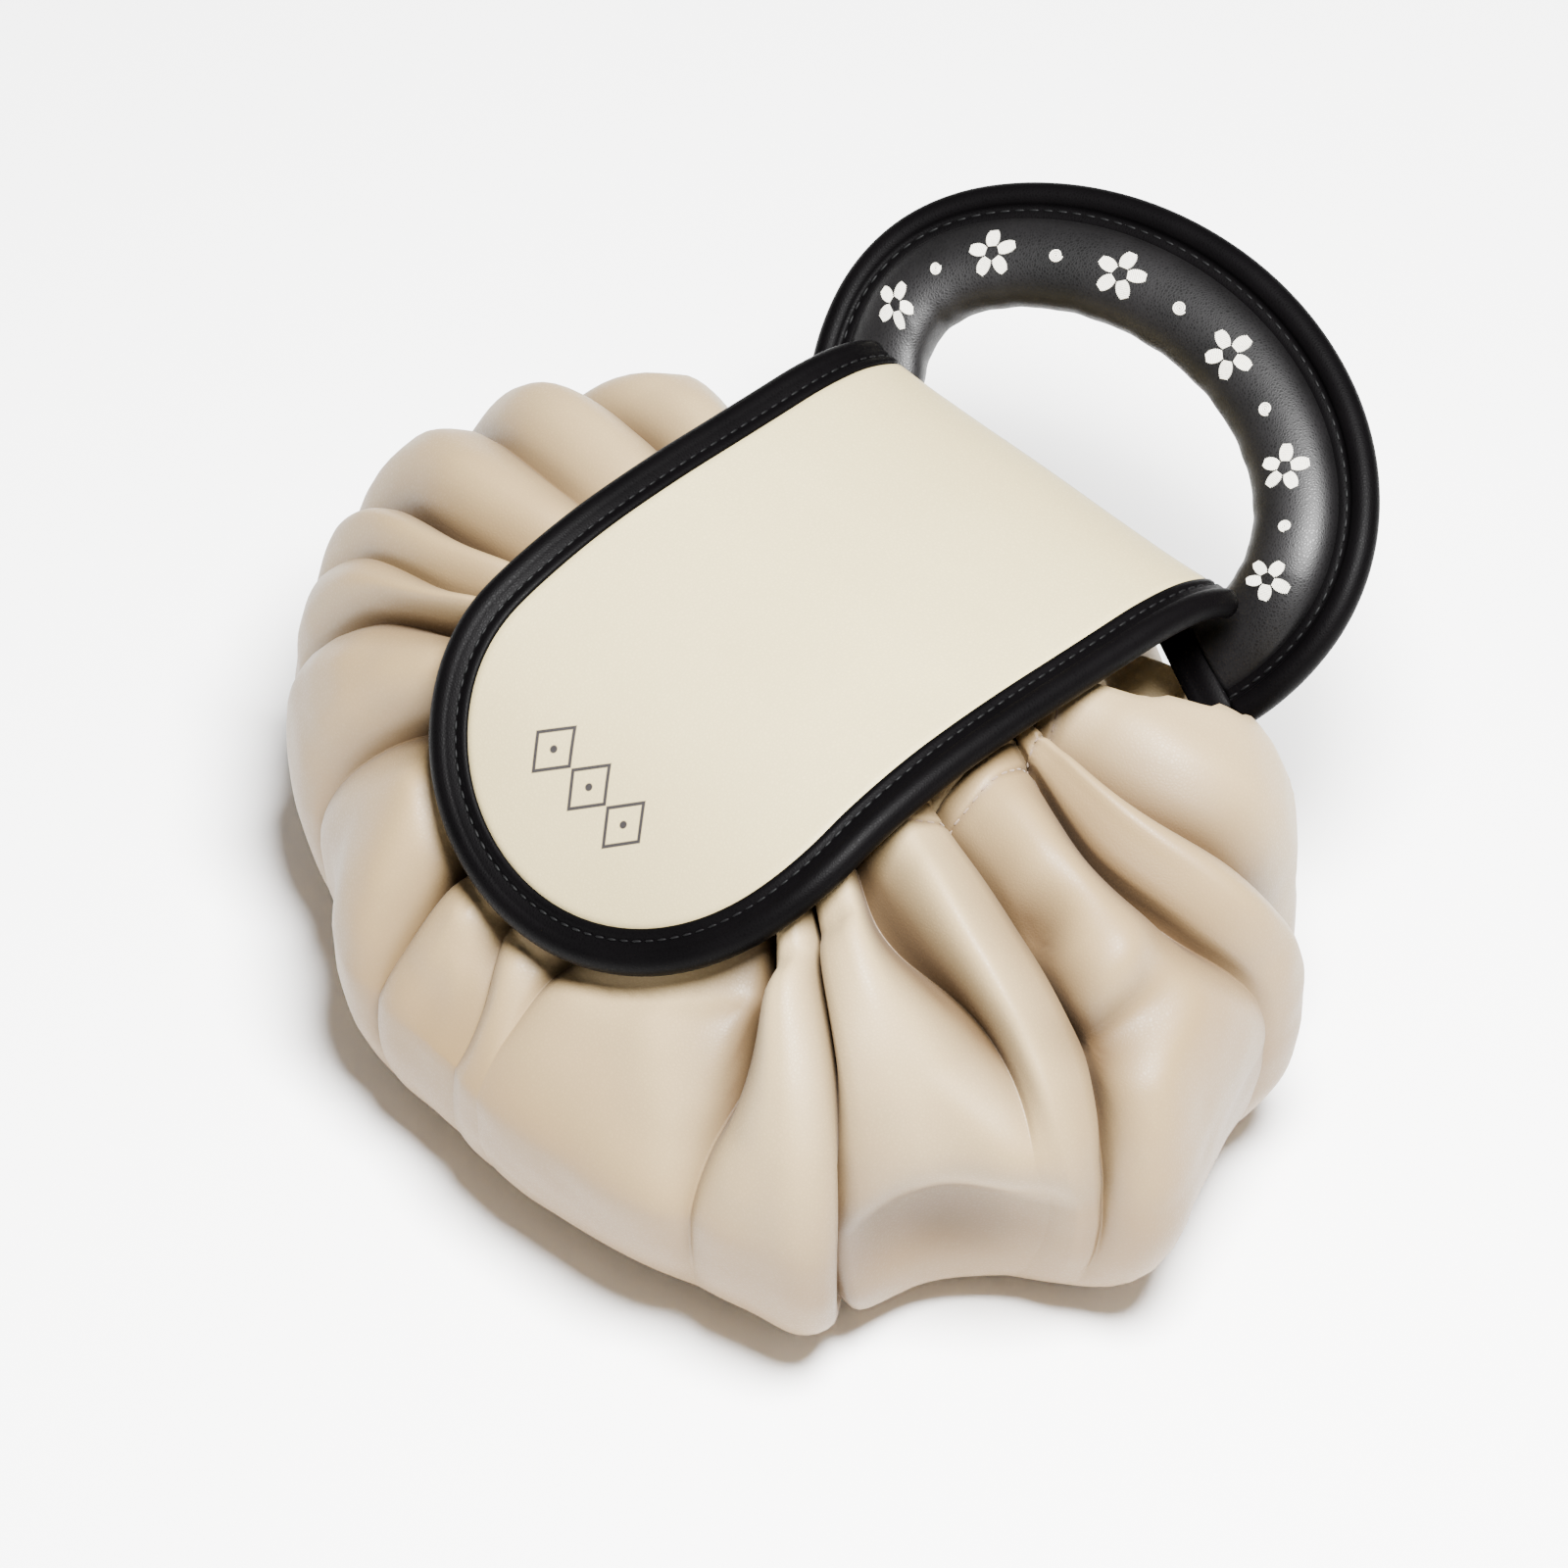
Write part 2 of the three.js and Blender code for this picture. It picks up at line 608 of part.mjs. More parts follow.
// Hollow hem: outer skin and channel skin joined at the two open ends.
function buildHem(grids) {
  const line = hemFrames(grids).filter((f) => f.azimuth > exitTo || f.azimuth < exitFrom);
  const start = line.findIndex((f, i) => f.azimuth > exitTo && !(line[i - 1]?.azimuth > exitTo));
  const frames = [...line.slice(start), ...line.slice(0, start)];
  const w = hemWidth / 2;
  const h = hemThickness / 2;
  const c = channelSize / 2;
  const skin = [
    [w, -h * hemEdge],
    [w, h * hemEdge],
    [0, h],
    [-w, h * hemInnerEdge],
    [-w, -h * hemInnerEdge],
    [0, -h],
  ];
  const channel = [
    [c, -c],
    [c, c],
    [-c, c],
    [-c, -c],
  ];
  const outerRings = frames.map((f) => ringAt(f, skin));
  const innerRings = frames.map((f) => ringAt(f, channel));
  const points = [...outerRings.flat(), ...innerRings.flat()];
  const shift = frames.length * skin.length;
  const triangles = [];
  for (let i = 0; i < frames.length - 1; i += 1) {
    for (let j = 0; j < skin.length; j += 1) {
      const k = (j + 1) % skin.length;
      const a = i * skin.length + j;
      const b = i * skin.length + k;
      triangles.push(a, a + skin.length, b, b, a + skin.length, b + skin.length);
    }
    for (let j = 0; j < channel.length; j += 1) {
      const k = (j + 1) % channel.length;
      const a = shift + i * channel.length + j;
      const b = shift + i * channel.length + k;
      triangles.push(a, b, a + channel.length, b, b + channel.length, a + channel.length);
    }
  }
  const corners = [
    [0, 1, 0, 1],
    [1, 2, 1, 1],
    [2, 3, 1, 2],
    [3, 4, 2, 3],
    [4, 5, 3, 3],
    [5, 0, 3, 0],
  ];
  corners.forEach(([a, b, c0, c1]) => {
    const startFace = [a, b, shift + c1, shift + c0];
    triangles.push(startFace[0], startFace[1], startFace[2]);
    if (c0 !== c1) triangles.push(startFace[0], startFace[2], startFace[3]);
    const outerEnd = (frames.length - 1) * skin.length;
    const innerEnd = shift + (frames.length - 1) * channel.length;
    triangles.push(outerEnd + b, outerEnd + a, innerEnd + c1);
    if (c0 !== c1) triangles.push(innerEnd + c1, outerEnd + a, innerEnd + c0);
  });
  return meshOf('drawstring_casing', points, triangles, creamLeather);
}

function buildCord(grids) {
  const frames = hemFrames(grids);
  const r = cordDiameter / 2;
  const section = [
    [r, 0],
    [0, r],
    [-r, 0],
    [0, -r],
  ];
  return tubeOf('drawstring', frames.map((f) => ringAt(f, section)), true, cordMaterial);
}

function buildFlap() {
  const curveStart = flapLength - flapHalfWidth;
  const rows = [];
  backRows.forEach((s) => rows.push([s * flapBackDrop, flapRootHalfWidth]));
  rows.push([bindingStart, flapHalfWidth]);
  straightRows.forEach((s) => rows.push([s * curveStart, flapHalfWidth]));
  tipRows.forEach((degrees) => {
    const a = radians(degrees);
    rows.push([curveStart + flapHalfWidth * Math.sin(a), flapHalfWidth * Math.cos(a)]);
  });
  const half = flapThickness / 2;
  const rings = rows.map(([along, width]) => {
    const top = flapAcross.map((s) => flapPoint(s * width, along, half));
    const bottom = [...flapAcross].reverse().map((s) => flapPoint(s * width, along, -half));
    return [...top, ...bottom];
  });
  return tubeOf('flap_panel', rings, false, creamLeather);
}

function buildBinding() {
  const curveStart = flapLength - flapHalfWidth;
  const straight = [bindingStart, ...straightRows.map((s) => s * curveStart)];
  const stations = [
    ...straight.map((along) => [along, 0]),
    ...tipRows.map((degrees) => [curveStart, degrees]),
    ...[...tipRows].reverse().map((degrees) => [curveStart, 180 - degrees]),
    ...[...straight].reverse().map((along) => [along, 180]),
  ];
  const slot = flapThickness / 2 + slotGap;
  const face = slot + flangeThickness;
  const middle = pieceGap + beadRadius;
  const section = [
    [-flangeDepth, slot],
    [-flangeDepth, face],
    [flangeRise, face + flangeRise],
    [middle - beadInner, beadRadius],
    [middle + beadOuter, beadRadius * beadNarrow],
    [middle + beadRadius, 0],
    [middle + beadOuter, -beadRadius * beadNarrow],
    [middle - beadInner, -beadRadius],
    [flangeRise, -face - flangeRise],
    [-flangeDepth, -face],
    [-flangeDepth, -slot],
    [pieceGap, -slot],
    [pieceGap, slot],
  ];
  const rings = stations.map(([along, degrees]) => {
    const a = radians(degrees);
    return section.map(([o, n]) => {
      const r = flapHalfWidth + o;
      return flapPoint(r * Math.cos(a), along + r * Math.sin(a), n);
    });
  });
  return tubeOf('flap_binding', rings, false, blackLeather);
}

function oval(width, thickness, count) {
  const section = [];
  for (let i = 0; i < count; i += 1) {
    const a = ((i + 0.5) / count) * Math.PI * 2;
    section.push([(Math.cos(a) * width) / 2, (Math.sin(a) * thickness) / 2]);
  }
  return section;
}

function padShareAt(sweep) {
  return Math.min(1, (handleSweep - Math.abs(sweep)) / padTaper);
}

function handleRing(sweep, offset, section) {
  const { point, outward, bend } = handleLine(sweep);
  return section.map(([o, n]) => handlePoint(point.clone().addScaledVector(outward, offset + o), n, bend));
}

function buildPad() {
  const rings = [];
  for (let i = 0; i <= padRings; i += 1) {
    const sweep = mix(handleSweep, -handleSweep, i / padRings);
    const thickness = mix(padEndThickness, padThickness, padShareAt(sweep));
    rings.push(handleRing(sweep, 0, oval(padWidth, thickness, 10)));
  }
  return tubeOf('handle_pad', rings, false, blackLeather);
}

function buildPiping() {
  const rings = [];
  const offset = padWidth / 2 + pieceGap + pipingWidth / 2;
  for (let i = 0; i <= pipingRings; i += 1) {
    const sweep = mix(handleSweep, -handleSweep, i / pipingRings);
    rings.push(handleRing(sweep, offset, oval(pipingWidth, pipingThickness, 8)));
  }
  return tubeOf('handle_piping', rings, false, blackLeather);
}

// Bound end of the handle, a short wrapped strip just past the padding.
function buildTab(name, side) {
  const { point, outward, bend } = handleLine(side * handleSweep);
  const before = handleLine(side * (handleSweep - 1)).point;
  const forward = point.clone().sub(before).normalize();
  const inner = -padWidth / 2 - (side > 0 ? tabInward : 0);
  const outer = padWidth / 2 + pieceGap + pipingWidth * tabOverPiping;
  const h = tabThickness / 2;
  const section = [
    [inner, -h * tabEdge],
    [inner + tabCorner, -h],
    [outer - tabCorner, -h],
    [outer, -h * tabEdge],
    [outer, h * tabEdge],
    [outer - tabCorner, h],
    [inner + tabCorner, h],
    [inner, h * tabEdge],
  ];
  const rings = [0, tabEndShare, 1].map((share) => {
    const along = pieceGap + tabLength * share;
    const shrink = share === 1 ? tabEndShare : 1;
    return section.map(([o, n]) =>
      handlePoint(
        point.clone().addScaledVector(forward, along).addScaledVector(outward, o),
        n * shrink,
        bend,
      ),
    );
  });
  if (side > 0) rings.reverse();
  return tubeOf(name, rings, false, blackLeather);
}

const grids = pouchGrids();
const group = new THREE.Group();
group.name = 'drawstring_cosmetic_bag';
group.add(buildPouch(grids));
group.add(buildHem(grids));
group.add(buildCord(grids));
group.add(buildFlap());
group.add(buildBinding());
group.add(buildPad());
group.add(buildPiping());
group.add(buildTab('handle_tab_left', -1));
group.add(buildTab('handle_tab_right', 1));

export default group;
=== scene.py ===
import math
from functools import partial

import bmesh
import bpy
import numpy as np
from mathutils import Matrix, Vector


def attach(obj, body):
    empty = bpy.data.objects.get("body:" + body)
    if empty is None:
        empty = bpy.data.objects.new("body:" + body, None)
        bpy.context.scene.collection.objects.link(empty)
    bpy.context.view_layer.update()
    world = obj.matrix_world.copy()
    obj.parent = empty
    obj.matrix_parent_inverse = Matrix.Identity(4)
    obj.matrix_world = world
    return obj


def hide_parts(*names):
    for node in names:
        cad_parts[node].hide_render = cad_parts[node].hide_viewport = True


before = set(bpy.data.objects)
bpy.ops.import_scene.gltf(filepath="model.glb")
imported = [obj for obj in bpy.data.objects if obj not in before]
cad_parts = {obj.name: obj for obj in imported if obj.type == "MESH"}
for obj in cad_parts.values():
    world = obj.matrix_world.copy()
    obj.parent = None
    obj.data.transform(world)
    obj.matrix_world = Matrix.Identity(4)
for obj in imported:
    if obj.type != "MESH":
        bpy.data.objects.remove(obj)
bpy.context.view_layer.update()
mm = 0.001  # lengths below are in mm, in the frame of the CAD part
print("frame loaded,", len(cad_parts), "nodes")

# Camera, light and floor

photoView = {
    "azimuth": 45,
    "elevation": 46,
    "lookAt": (-0.75, -0.75, 62.8),
    "across": 340.4,  # width of the picture at the bag
    "lens": 400,
    "sensor": 36,
}

studio = {
    "worldColor": (1.0, 0.99, 0.975),
    "worldStrength": 0.3,
    "floorColor": (0.97, 0.97, 0.965),
    "floorHalf": 2500,
}

# Each light's direction from the bag: share straight up, toward the camera, to its right and its top
lights = {
    "keyLight": {"toward": (0.8, 0.5, 0.2, 0), "distance": 1.1, "size": 0.5, "power": 122},
    "fillLight": {"toward": (0, 0.8, 0.8, -0.1), "distance": 1.5, "size": 1.2, "power": 2},
}


def intoScene(name, data):
    made = bpy.data.objects.new(name, data)
    bpy.context.scene.collection.objects.link(made)
    return made


def viewAxes():
    a = math.radians(photoView["azimuth"])
    e = math.radians(photoView["elevation"])
    back = Vector((math.sin(a) * math.cos(e), -math.cos(a) * math.cos(e), math.sin(e)))
    right = Vector((math.cos(a), math.sin(a), 0))
    return back, right, back.cross(right)


def makeCamera():
    back = viewAxes()[0]
    data = bpy.data.cameras.new("photoCamera")
    data.lens = photoView["lens"]
    data.sensor_width = photoView["sensor"]
    data.clip_end = 60
    camera = intoScene("photoCamera", data)
    distance = photoView["across"] * photoView["lens"] / photoView["sensor"]
    camera.location = (Vector(photoView["lookAt"]) + back * distance) * mm
    camera.rotation_mode = "QUATERNION"
    camera.rotation_quaternion = (-back).to_track_quat("-Z", "Y")
    bpy.context.scene.camera = camera


def areaLight(name, s):
    data = bpy.data.lights.new(name, "AREA")
    data.shape = "DISK"
    data.size = s["size"]
    data.energy = s["power"]
    light = intoScene(name, data)
    back, right, top = viewAxes()
    above, front, side, rise = s["toward"]
    direction = (Vector((0, 0, above)) + back * front + right * side + top * rise).normalized()
    light.location = Vector(photoView["lookAt"]) * mm + direction * s["distance"]
    light.rotation_mode = "QUATERNION"
    light.rotation_quaternion = (-direction).to_track_quat("-Z", "Y")


def makeStudio():
    for name, s in lights.items():
        areaLight(name, s)
    world = bpy.data.worlds.new("softRoom")
    world.use_nodes = True
    sky = world.node_tree.nodes["Background"]
    sky.inputs["Color"].default_value = (*studio["worldColor"], 1)
    sky.inputs["Strength"].default_value = studio["worldStrength"]
    bpy.context.scene.world = world


# Node helpers

def feed(tree, node, inputs):
    # each input takes a fixed value or the output of another node
    for label, value in inputs.items():
        if isinstance(value, bpy.types.NodeSocket):
            tree.links.new(value, node.inputs[label])
        else:
            node.inputs[label].default_value = value


def addNode(tree, kind, inputs, **options):
    node = tree.nodes.new(kind)
    for label, value in options.items():
        setattr(node, label, value)
    feed(tree, node, inputs)
    return node


def newGroup(kind, name, inputs, outputs):
    tree = bpy.data.node_groups.new(name, kind)
    for label, socketKind, value in inputs:
        socket = tree.interface.new_socket(label, in_out="INPUT", socket_type="NodeSocket" + socketKind)
        if value is not None:
            socket.default_value = value
    for label, socketKind in outputs:
        tree.interface.new_socket(label, in_out="OUTPUT", socket_type="NodeSocket" + socketKind)
    return tree, tree.nodes.new("NodeGroupInput").outputs, tree.nodes.new("NodeGroupOutput")


def newMaterial(name):
    material = bpy.data.materials.new(name)
    material.use_nodes = True
    tree = material.node_tree
    return material, tree, tree.nodes["Principled BSDF"]


def mathNode(tree, operation, *values):
    return addNode(tree, "ShaderNodeMath", dict(enumerate(values)), operation=operation).outputs[0]


def mixColors(tree, factor, first, second):
    inputs = {"Factor": factor, "A": first, "B": second}
    for label in ("A", "B"):
        if isinstance(inputs[label], tuple):
            inputs[label] = (*inputs[label], 1)
    return addNode(tree, "ShaderNodeMix", inputs, data_type="RGBA").outputs["Result"]


def spread(tree, value, low, high, toLow, toHigh):
    inputs = {"Value": value, "From Min": low, "From Max": high, "To Min": toLow, "To Max": toHigh}
    return addNode(tree, "ShaderNodeMapRange", inputs).outputs["Result"]


def bumpOf(tree, height, strength, distance):
    inputs = {"Height": height, "Strength": strength, "Distance": distance}
    return addNode(tree, "ShaderNodeBump", inputs).outputs["Normal"]


def attributeOf(tree, name):
    return addNode(tree, "ShaderNodeAttribute", {}, attribute_name=name).outputs["Fac"]


grainForm = {
    "shift": 0.0008,  # how far the fine lines wander
    "edge": 0.35,  # width of the groove between pebbles, in cells
    "fineness": 1.6,
    "pebbleShare": 0.6,
    "fineShare": 0.4,
    "patchRange": (0.3, 0.7),
}


def makeGrainGroup():
    # pressed leather grain: small pebbles, wandering fine lines, a slow unevenness
    s = grainForm
    tree, start, end = newGroup(
        "ShaderNodeTree", "leatherGrain",
        [("Vector", "Vector", None), ("Pebble Size", "Float", 0.0011), ("Line Size", "Float", 0.006),
         ("Patch Size", "Float", 0.03)],
        [("Height", "Float"), ("Pores", "Float"), ("Patches", "Float")],
    )
    work = partial(mathNode, tree)

    def noise(size, share, detail, roughness):
        return addNode(tree, "ShaderNodeTexNoise", {
            "Vector": start["Vector"], "Scale": work("DIVIDE", share, start[size]), "Detail": detail,
            "Roughness": roughness,
        })

    wobble = noise("Line Size", 1.0, 2, 0.5)
    shift = addNode(tree, "ShaderNodeVectorMath", {
        0: wobble.outputs["Color"], 1: (s["shift"], s["shift"], s["shift"]), 2: start["Vector"],
    }, operation="MULTIPLY_ADD")
    cells = addNode(tree, "ShaderNodeTexVoronoi", {
        "Vector": shift.outputs[0], "Scale": work("DIVIDE", 1.0, start["Pebble Size"]),
    }, feature="DISTANCE_TO_EDGE")
    pebble = spread(tree, cells.outputs["Distance"], 0.0, s["edge"], 0.0, 1.0)
    fine = work("MULTIPLY", noise("Pebble Size", s["fineness"], 4, 0.6).outputs["Fac"], s["fineShare"])
    patches = noise("Patch Size", 1.0, 3, 0.5).outputs["Fac"]
    feed(tree, end, {
        "Height": work("ADD", work("MULTIPLY", pebble, s["pebbleShare"]), fine),
        "Pores": work("SUBTRACT", 1.0, pebble),
        "Patches": spread(tree, patches, *s["patchRange"], 0.0, 1.0),
    })
    return tree


grainGroup = makeGrainGroup()


def addGrain(tree, s):
    coordinates = addNode(tree, "ShaderNodeTexCoord", {})
    return addNode(tree, "ShaderNodeGroup", {
        "Vector": coordinates.outputs["Object"], "Pebble Size": s["pebble"], "Line Size": s["line"],
        "Patch Size": s["patch"],
    }, node_tree=grainGroup)


# Materials

bodySettings = {
    "light": (0.305, 0.229, 0.12),
    "deep": (0.245, 0.172, 0.084),
    # hollow is the painted shade in the folds and also the colour of the grain's pores; low is the painted
    # shade toward the underside, on some sides and at the flap's ends
    "hollow": (0.05, 0.026, 0.0095),
    "low": (0.145, 0.088, 0.034),
    "roughness": 0.5,
    "rougher": 0.08,
    "glossier": 0.05,
    "specular": 0.32,
    "sheen": 0.02,
    "pebble": 0.0009,
    "line": 0.006,
    "patch": 0.035,
    "patchShare": 0.35,
    "poreShare": 0.12,
    "bump": (0.25, 0.00012),
}

flapSettings = {
    **bodySettings,
    "light": (0.40, 0.342, 0.175),
    "deep": (0.35, 0.29, 0.145),
    "endShades": [(70, 165, 0.34), (45, -5, 0.3)],  # painted shade: darker toward its tip and its sewn end
}

ornament = {
    "across": -5.5,  # middle of the row on the flap, in mm over it and along it
    "along": 137,
    "turn": 10,
    "count": 3,
    "pitch": 12.5,
    "half": (5.6, 6.4),
    "line": 0.42,
    "dot": 0.9,
    "softLine": (0.7, 1.3),  # where the ink fades out, as shares of the line's and the dot's size
    "softDot": (0.85, 1.15),
    "ink": (0.012, 0.01, 0.01),
}


def makeLozengeGroup():
    # a row of thin-lined lozenges with a dot in each, one repeat worked out and folded along the row
    s = ornament
    tree, start, end = newGroup(
        "ShaderNodeTree", "lozengeRow", [("Across", "Float", None), ("Along", "Float", None)],
        [("Mask", "Float")],
    )
    work = partial(mathNode, tree)
    turn = math.radians(s["turn"])
    u = work("SUBTRACT", start["Across"], float(s["across"]))
    v = work("SUBTRACT", start["Along"], float(s["along"]))
    row = work("ADD", work("MULTIPLY", u, math.cos(turn)), work("MULTIPLY", v, math.sin(turn)))
    high = work("SUBTRACT", work("MULTIPLY", v, math.cos(turn)), work("MULTIPLY", u, math.sin(turn)))
    rowHalf = s["count"] * s["pitch"] / 2
    place = work("FLOORED_MODULO", work("ADD", row, rowHalf), float(s["pitch"]))
    x = work("ABSOLUTE", work("SUBTRACT", place, s["pitch"] / 2))
    y = work("ABSOLUTE", high)
    wide, tall = s["half"]
    rim = work("ADD", work("DIVIDE", x, wide), work("DIVIDE", y, tall))
    # about the distance to the slanted side
    distance = work("MULTIPLY", work("ABSOLUTE", work("SUBTRACT", rim, 1.0)), wide * 0.75)
    line = spread(tree, distance, *(s["line"] * share for share in s["softLine"]), 1.0, 0.0)
    middle = work("SQRT", work("ADD", work("MULTIPLY", x, x), work("MULTIPLY", y, y)))
    dot = spread(tree, middle, *(s["dot"] * share for share in s["softDot"]), 1.0, 0.0)
    inside = work("LESS_THAN", work("ABSOLUTE", row), rowHalf)
    feed(tree, end, {"Mask": work("MULTIPLY", work("MAXIMUM", line, dot), inside)})
    return tree


def printLozenges(tree, color):
    inputs = {"Across": attributeOf(tree, "flapAcross"), "Along": attributeOf(tree, "flapAlong")}
    printed = addNode(tree, "ShaderNodeGroup", {}, node_tree=makeLozengeGroup())
    feed(tree, printed, inputs)
    return mixColors(tree, printed.outputs["Mask"], color, ornament["ink"])


def leatherShader(tree, shader, grain, color, s):
    # a little glossier on top of each pebble of the grain
    height = grain.outputs["Height"]
    rough = s["roughness"] + s["rougher"]
    smooth = s["roughness"] - s["glossier"]
    feed(tree, shader, {
        "Base Color": color, "Roughness": spread(tree, height, 0.2, 0.9, rough, smooth),
        "Specular IOR Level": s["specular"], "Sheen Weight": s["sheen"],
        "Normal": bumpOf(tree, height, *s["bump"]),
    })


def creamLeather(name, s, paintsShade, printed=False):
    material, tree, shader = newMaterial(name)
    grain = addGrain(tree, s)
    patches = mathNode(tree, "MULTIPLY", grain.outputs["Patches"], s["patchShare"])
    pores = mathNode(tree, "MULTIPLY", grain.outputs["Pores"], s["poreShare"])
    color = mixColors(tree, pores, mixColors(tree, patches, s["light"], s["deep"]), s["hollow"])
    # painted shade: the colour darkens toward the underside and sides and in the folds, by the points' low
    # and hollow values
    if paintsShade:
        color = mixColors(tree, attributeOf(tree, "low"), color, s["low"])
        color = mixColors(tree, attributeOf(tree, "hollow"), color, s["hollow"])
    if printed:
        along = attributeOf(tree, "flapAlong")
        # painted shade toward the flap's tip and its sewn end
        for start, end, much in s["endShades"]:
            color = mixColors(tree, spread(tree, along, start, end, 0.0, much), color, s["low"])
        color = printLozenges(tree, color)
    leatherShader(tree, shader, grain, color, s)
    return material


blackSettings = {
    "color": (0.0006, 0.0005, 0.0006),
    "worn": (0.0018, 0.0015, 0.0017),
    "roughness": 0.46,
    "rougher": 0.1,
    "glossier": 0.06,
    "specular": 0.03,
    "sheen": 0,
    "pebble": 0.0007,
    "line": 0.004,
    "patch": 0.02,
    "patchShare": 0.4,
    "bump": (0.35, 0.0001),
}

padSettings = {**blackSettings, "worn": (0.006, 0.0054, 0.0058), "roughness": 0.42, "specular": 0.26}


def blackLeather(name, s):
    material, tree, shader = newMaterial(name)
    grain = addGrain(tree, s)
    worn = mathNode(tree, "MULTIPLY", grain.outputs["Patches"], s["patchShare"])
    leatherShader(tree, shader, grain, mixColors(tree, worn, s["color"], s["worn"]), s)
    return material


def threadMaterial(name, color, roughness, twist, sheen=0.3, specular=0.5):
    # twist is the length in mm over which the fibres vary
    material, tree, shader = newMaterial(name)
    coordinates = addNode(tree, "ShaderNodeTexCoord", {})
    fibres = addNode(tree, "ShaderNodeTexNoise", {
        "Vector": coordinates.outputs["Object"], "Scale": 1 / (twist * mm), "Detail": 4,
    }).outputs["Fac"]
    dark = tuple(c * 0.55 for c in color)
    feed(tree, shader, {
        "Base Color": mixColors(tree, fibres, color, dark), "Roughness": roughness, "Sheen Weight": sheen,
        "Specular IOR Level": specular, "Normal": bumpOf(tree, fibres, 0.5, 0.00015),
    })
    return material


def plainFloor():
    material, tree, shader = newMaterial("paleFloor")
    feed(tree, shader, {"Base Color": (*studio["floorColor"], 1), "Roughness": 0.9})
    return material


# Mesh helpers

def smoothCurve(knots, values, x, period=0):
    # smooth line through a short table, closed on itself where a period is given
    knots = np.asarray(knots, float)
    values = np.asarray(values, float)
    if period:
        knots = np.concatenate([knots[-2:] - period, knots, knots[:2] + period])
        values = np.concatenate([values[-2:], values, values[:2]])
        x = (x - knots[2]) % period + knots[2]
    slope = np.gradient(values, knots)
    cell = np.clip(np.searchsorted(knots, x, side="right") - 1, 0, len(knots) - 2)
    gap = knots[cell + 1] - knots[cell]
    s = np.clip((x - knots[cell]) / gap, 0, 1)
    rise = values[cell + 1] - values[cell]
    bend = (slope[cell] * gap - rise) * (1 - s) + (rise - slope[cell + 1] * gap) * s
    return values[cell] + rise * s + s * (1 - s) * bend


def mix(low, high, share):
    return low + (high - low) * share


def turnRound(count):
    return np.linspace(0, 2 * math.pi, count, endpoint=False)


def rounded(wave, power):
    # a sine or cosine drawn out to a squarer round where the power is under 1
    return np.sign(wave) * np.abs(wave) ** power


def unit(vectors):
    return vectors / np.maximum(np.linalg.norm(vectors, axis=-1, keepdims=True), 1e-9)


def turned(azimuth, middle):
    # degrees from the middle to the azimuth, the short way round
    return (azimuth - middle + 540) % 360 - 180


def gridFaces(rows, columns, around):
    last = columns if around else columns - 1
    faces = []
    for i in range(rows - 1):
        for j in range(last):
            k = (j + 1) % columns
            faces.append((i * columns + j, i * columns + k, (i + 1) * columns + k, (i + 1) * columns + j))
    return faces


def meshPiece(name, points, faces, material):
    mesh = bpy.data.meshes.new(name)
    mesh.from_pydata((np.asarray(points, float).reshape(-1, 3) * mm).tolist(), [], faces)
    mesh.materials.append(material)
    shape = bmesh.new()
    shape.from_mesh(mesh)
    bmesh.ops.recalc_face_normals(shape, faces=shape.faces)
    if shape.calc_volume(signed=True) < 0:
        bmesh.ops.reverse_faces(shape, faces=shape.faces)
    shape.to_mesh(mesh)
    shape.free()
    mesh.shade_smooth()
    return intoScene(name, mesh)


def tubePiece(name, rings, material, closed=False):
    # tube through rings with as many points each, its ends closed by a fan unless it is a loop
    rings = np.asarray(rings, float)
    count, around = rings.shape[:2]
    faces = gridFaces(count, around, True)
    points = rings.reshape(-1, 3)
    base = (count - 1) * around
    if closed:
        faces += [(base + j, base + (j + 1) % around, (j + 1) % around, j) for j in range(around)]
    else:
        points = np.concatenate([points, [rings[0].mean(0)], [rings[-1].mean(0)]])
        faces += [(len(points) - 2, (j + 1) % around, j) for j in range(around)]
        faces += [(len(points) - 1, base + j, base + (j + 1) % around) for j in range(around)]
    return meshPiece(name, points, faces, material)


def settle(piece, node):
    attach(piece, "root")
    if node:
        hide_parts(node)
    return piece


# Pouch

pouch = {
    "reach": 112,
    "height": 104,
    "belly": 42,
    "bellyAt": 0.35,
    "baseShare": 0.62,
    "lowerRound": 2.4,
    "mouth": (52, 54),
    "mouthShift": 6,
    "bulge": 0.03,
    "wall": 1.2,
    "valleyStart": 6,  # how far a valley reaches to each side, and how much more for its depth
    "valleyShare": 1.0,
    "openReach": 1.15,  # an open valley reaches farther than a creased one
    "creaseReach": 0.3,
    "deeper": 1.5,
    "cutShare": 0.24,  # width of the sharp cut down the middle of a creased valley
    "cutDeep": 0.34,  # and its share of the depth
    "slope": 1.4,
    "bulgeFrom": 0.05,  # lobes swell out between their folds from here up
    "bulgeOver": 0.3,
    "crownRound": 2.2,
    "columns": 22,  # in each lobe between two folds, closest together at the folds
    "columnEven": 0.45,
    "rows": 92,
    "rowPower": 0.92,
    "baseRows": 9,
    "waves": [(38, 4, 1.0), (15, 9, 0.3)],  # slow unevenness of the leather: size, seed, height
    "wavesOver": 0.2,
    "waveCentre": 40,
    "seamAt": 0.95,
    "seamWide": 0.006,
    "seamDeep": 1.3,
    "seamCentre": 60,
}

# Painted shade, where the leather's colour is darkened to stand in for shade: in folds, dents and the seam,
# toward the underside, on some sides
shade = {
    "from": 1.5,  # mm deep, and how much deeper until it is darkest
    "over": 9,
    "power": 0.9,
    "most": 0.9,
    "dent": 0.7,
    "seam": 0.45,
    "seamWide": 0.005,
    "low": 0.9,
    "lowFrom": 0.62,
    "lowOver": 0.3,
    "lowPower": 1.3,
    "sides": [(205, 60, 0.6), (6, 24, 0.7), (262, 30, 0.3)],  # azimuth, half width, how much
}

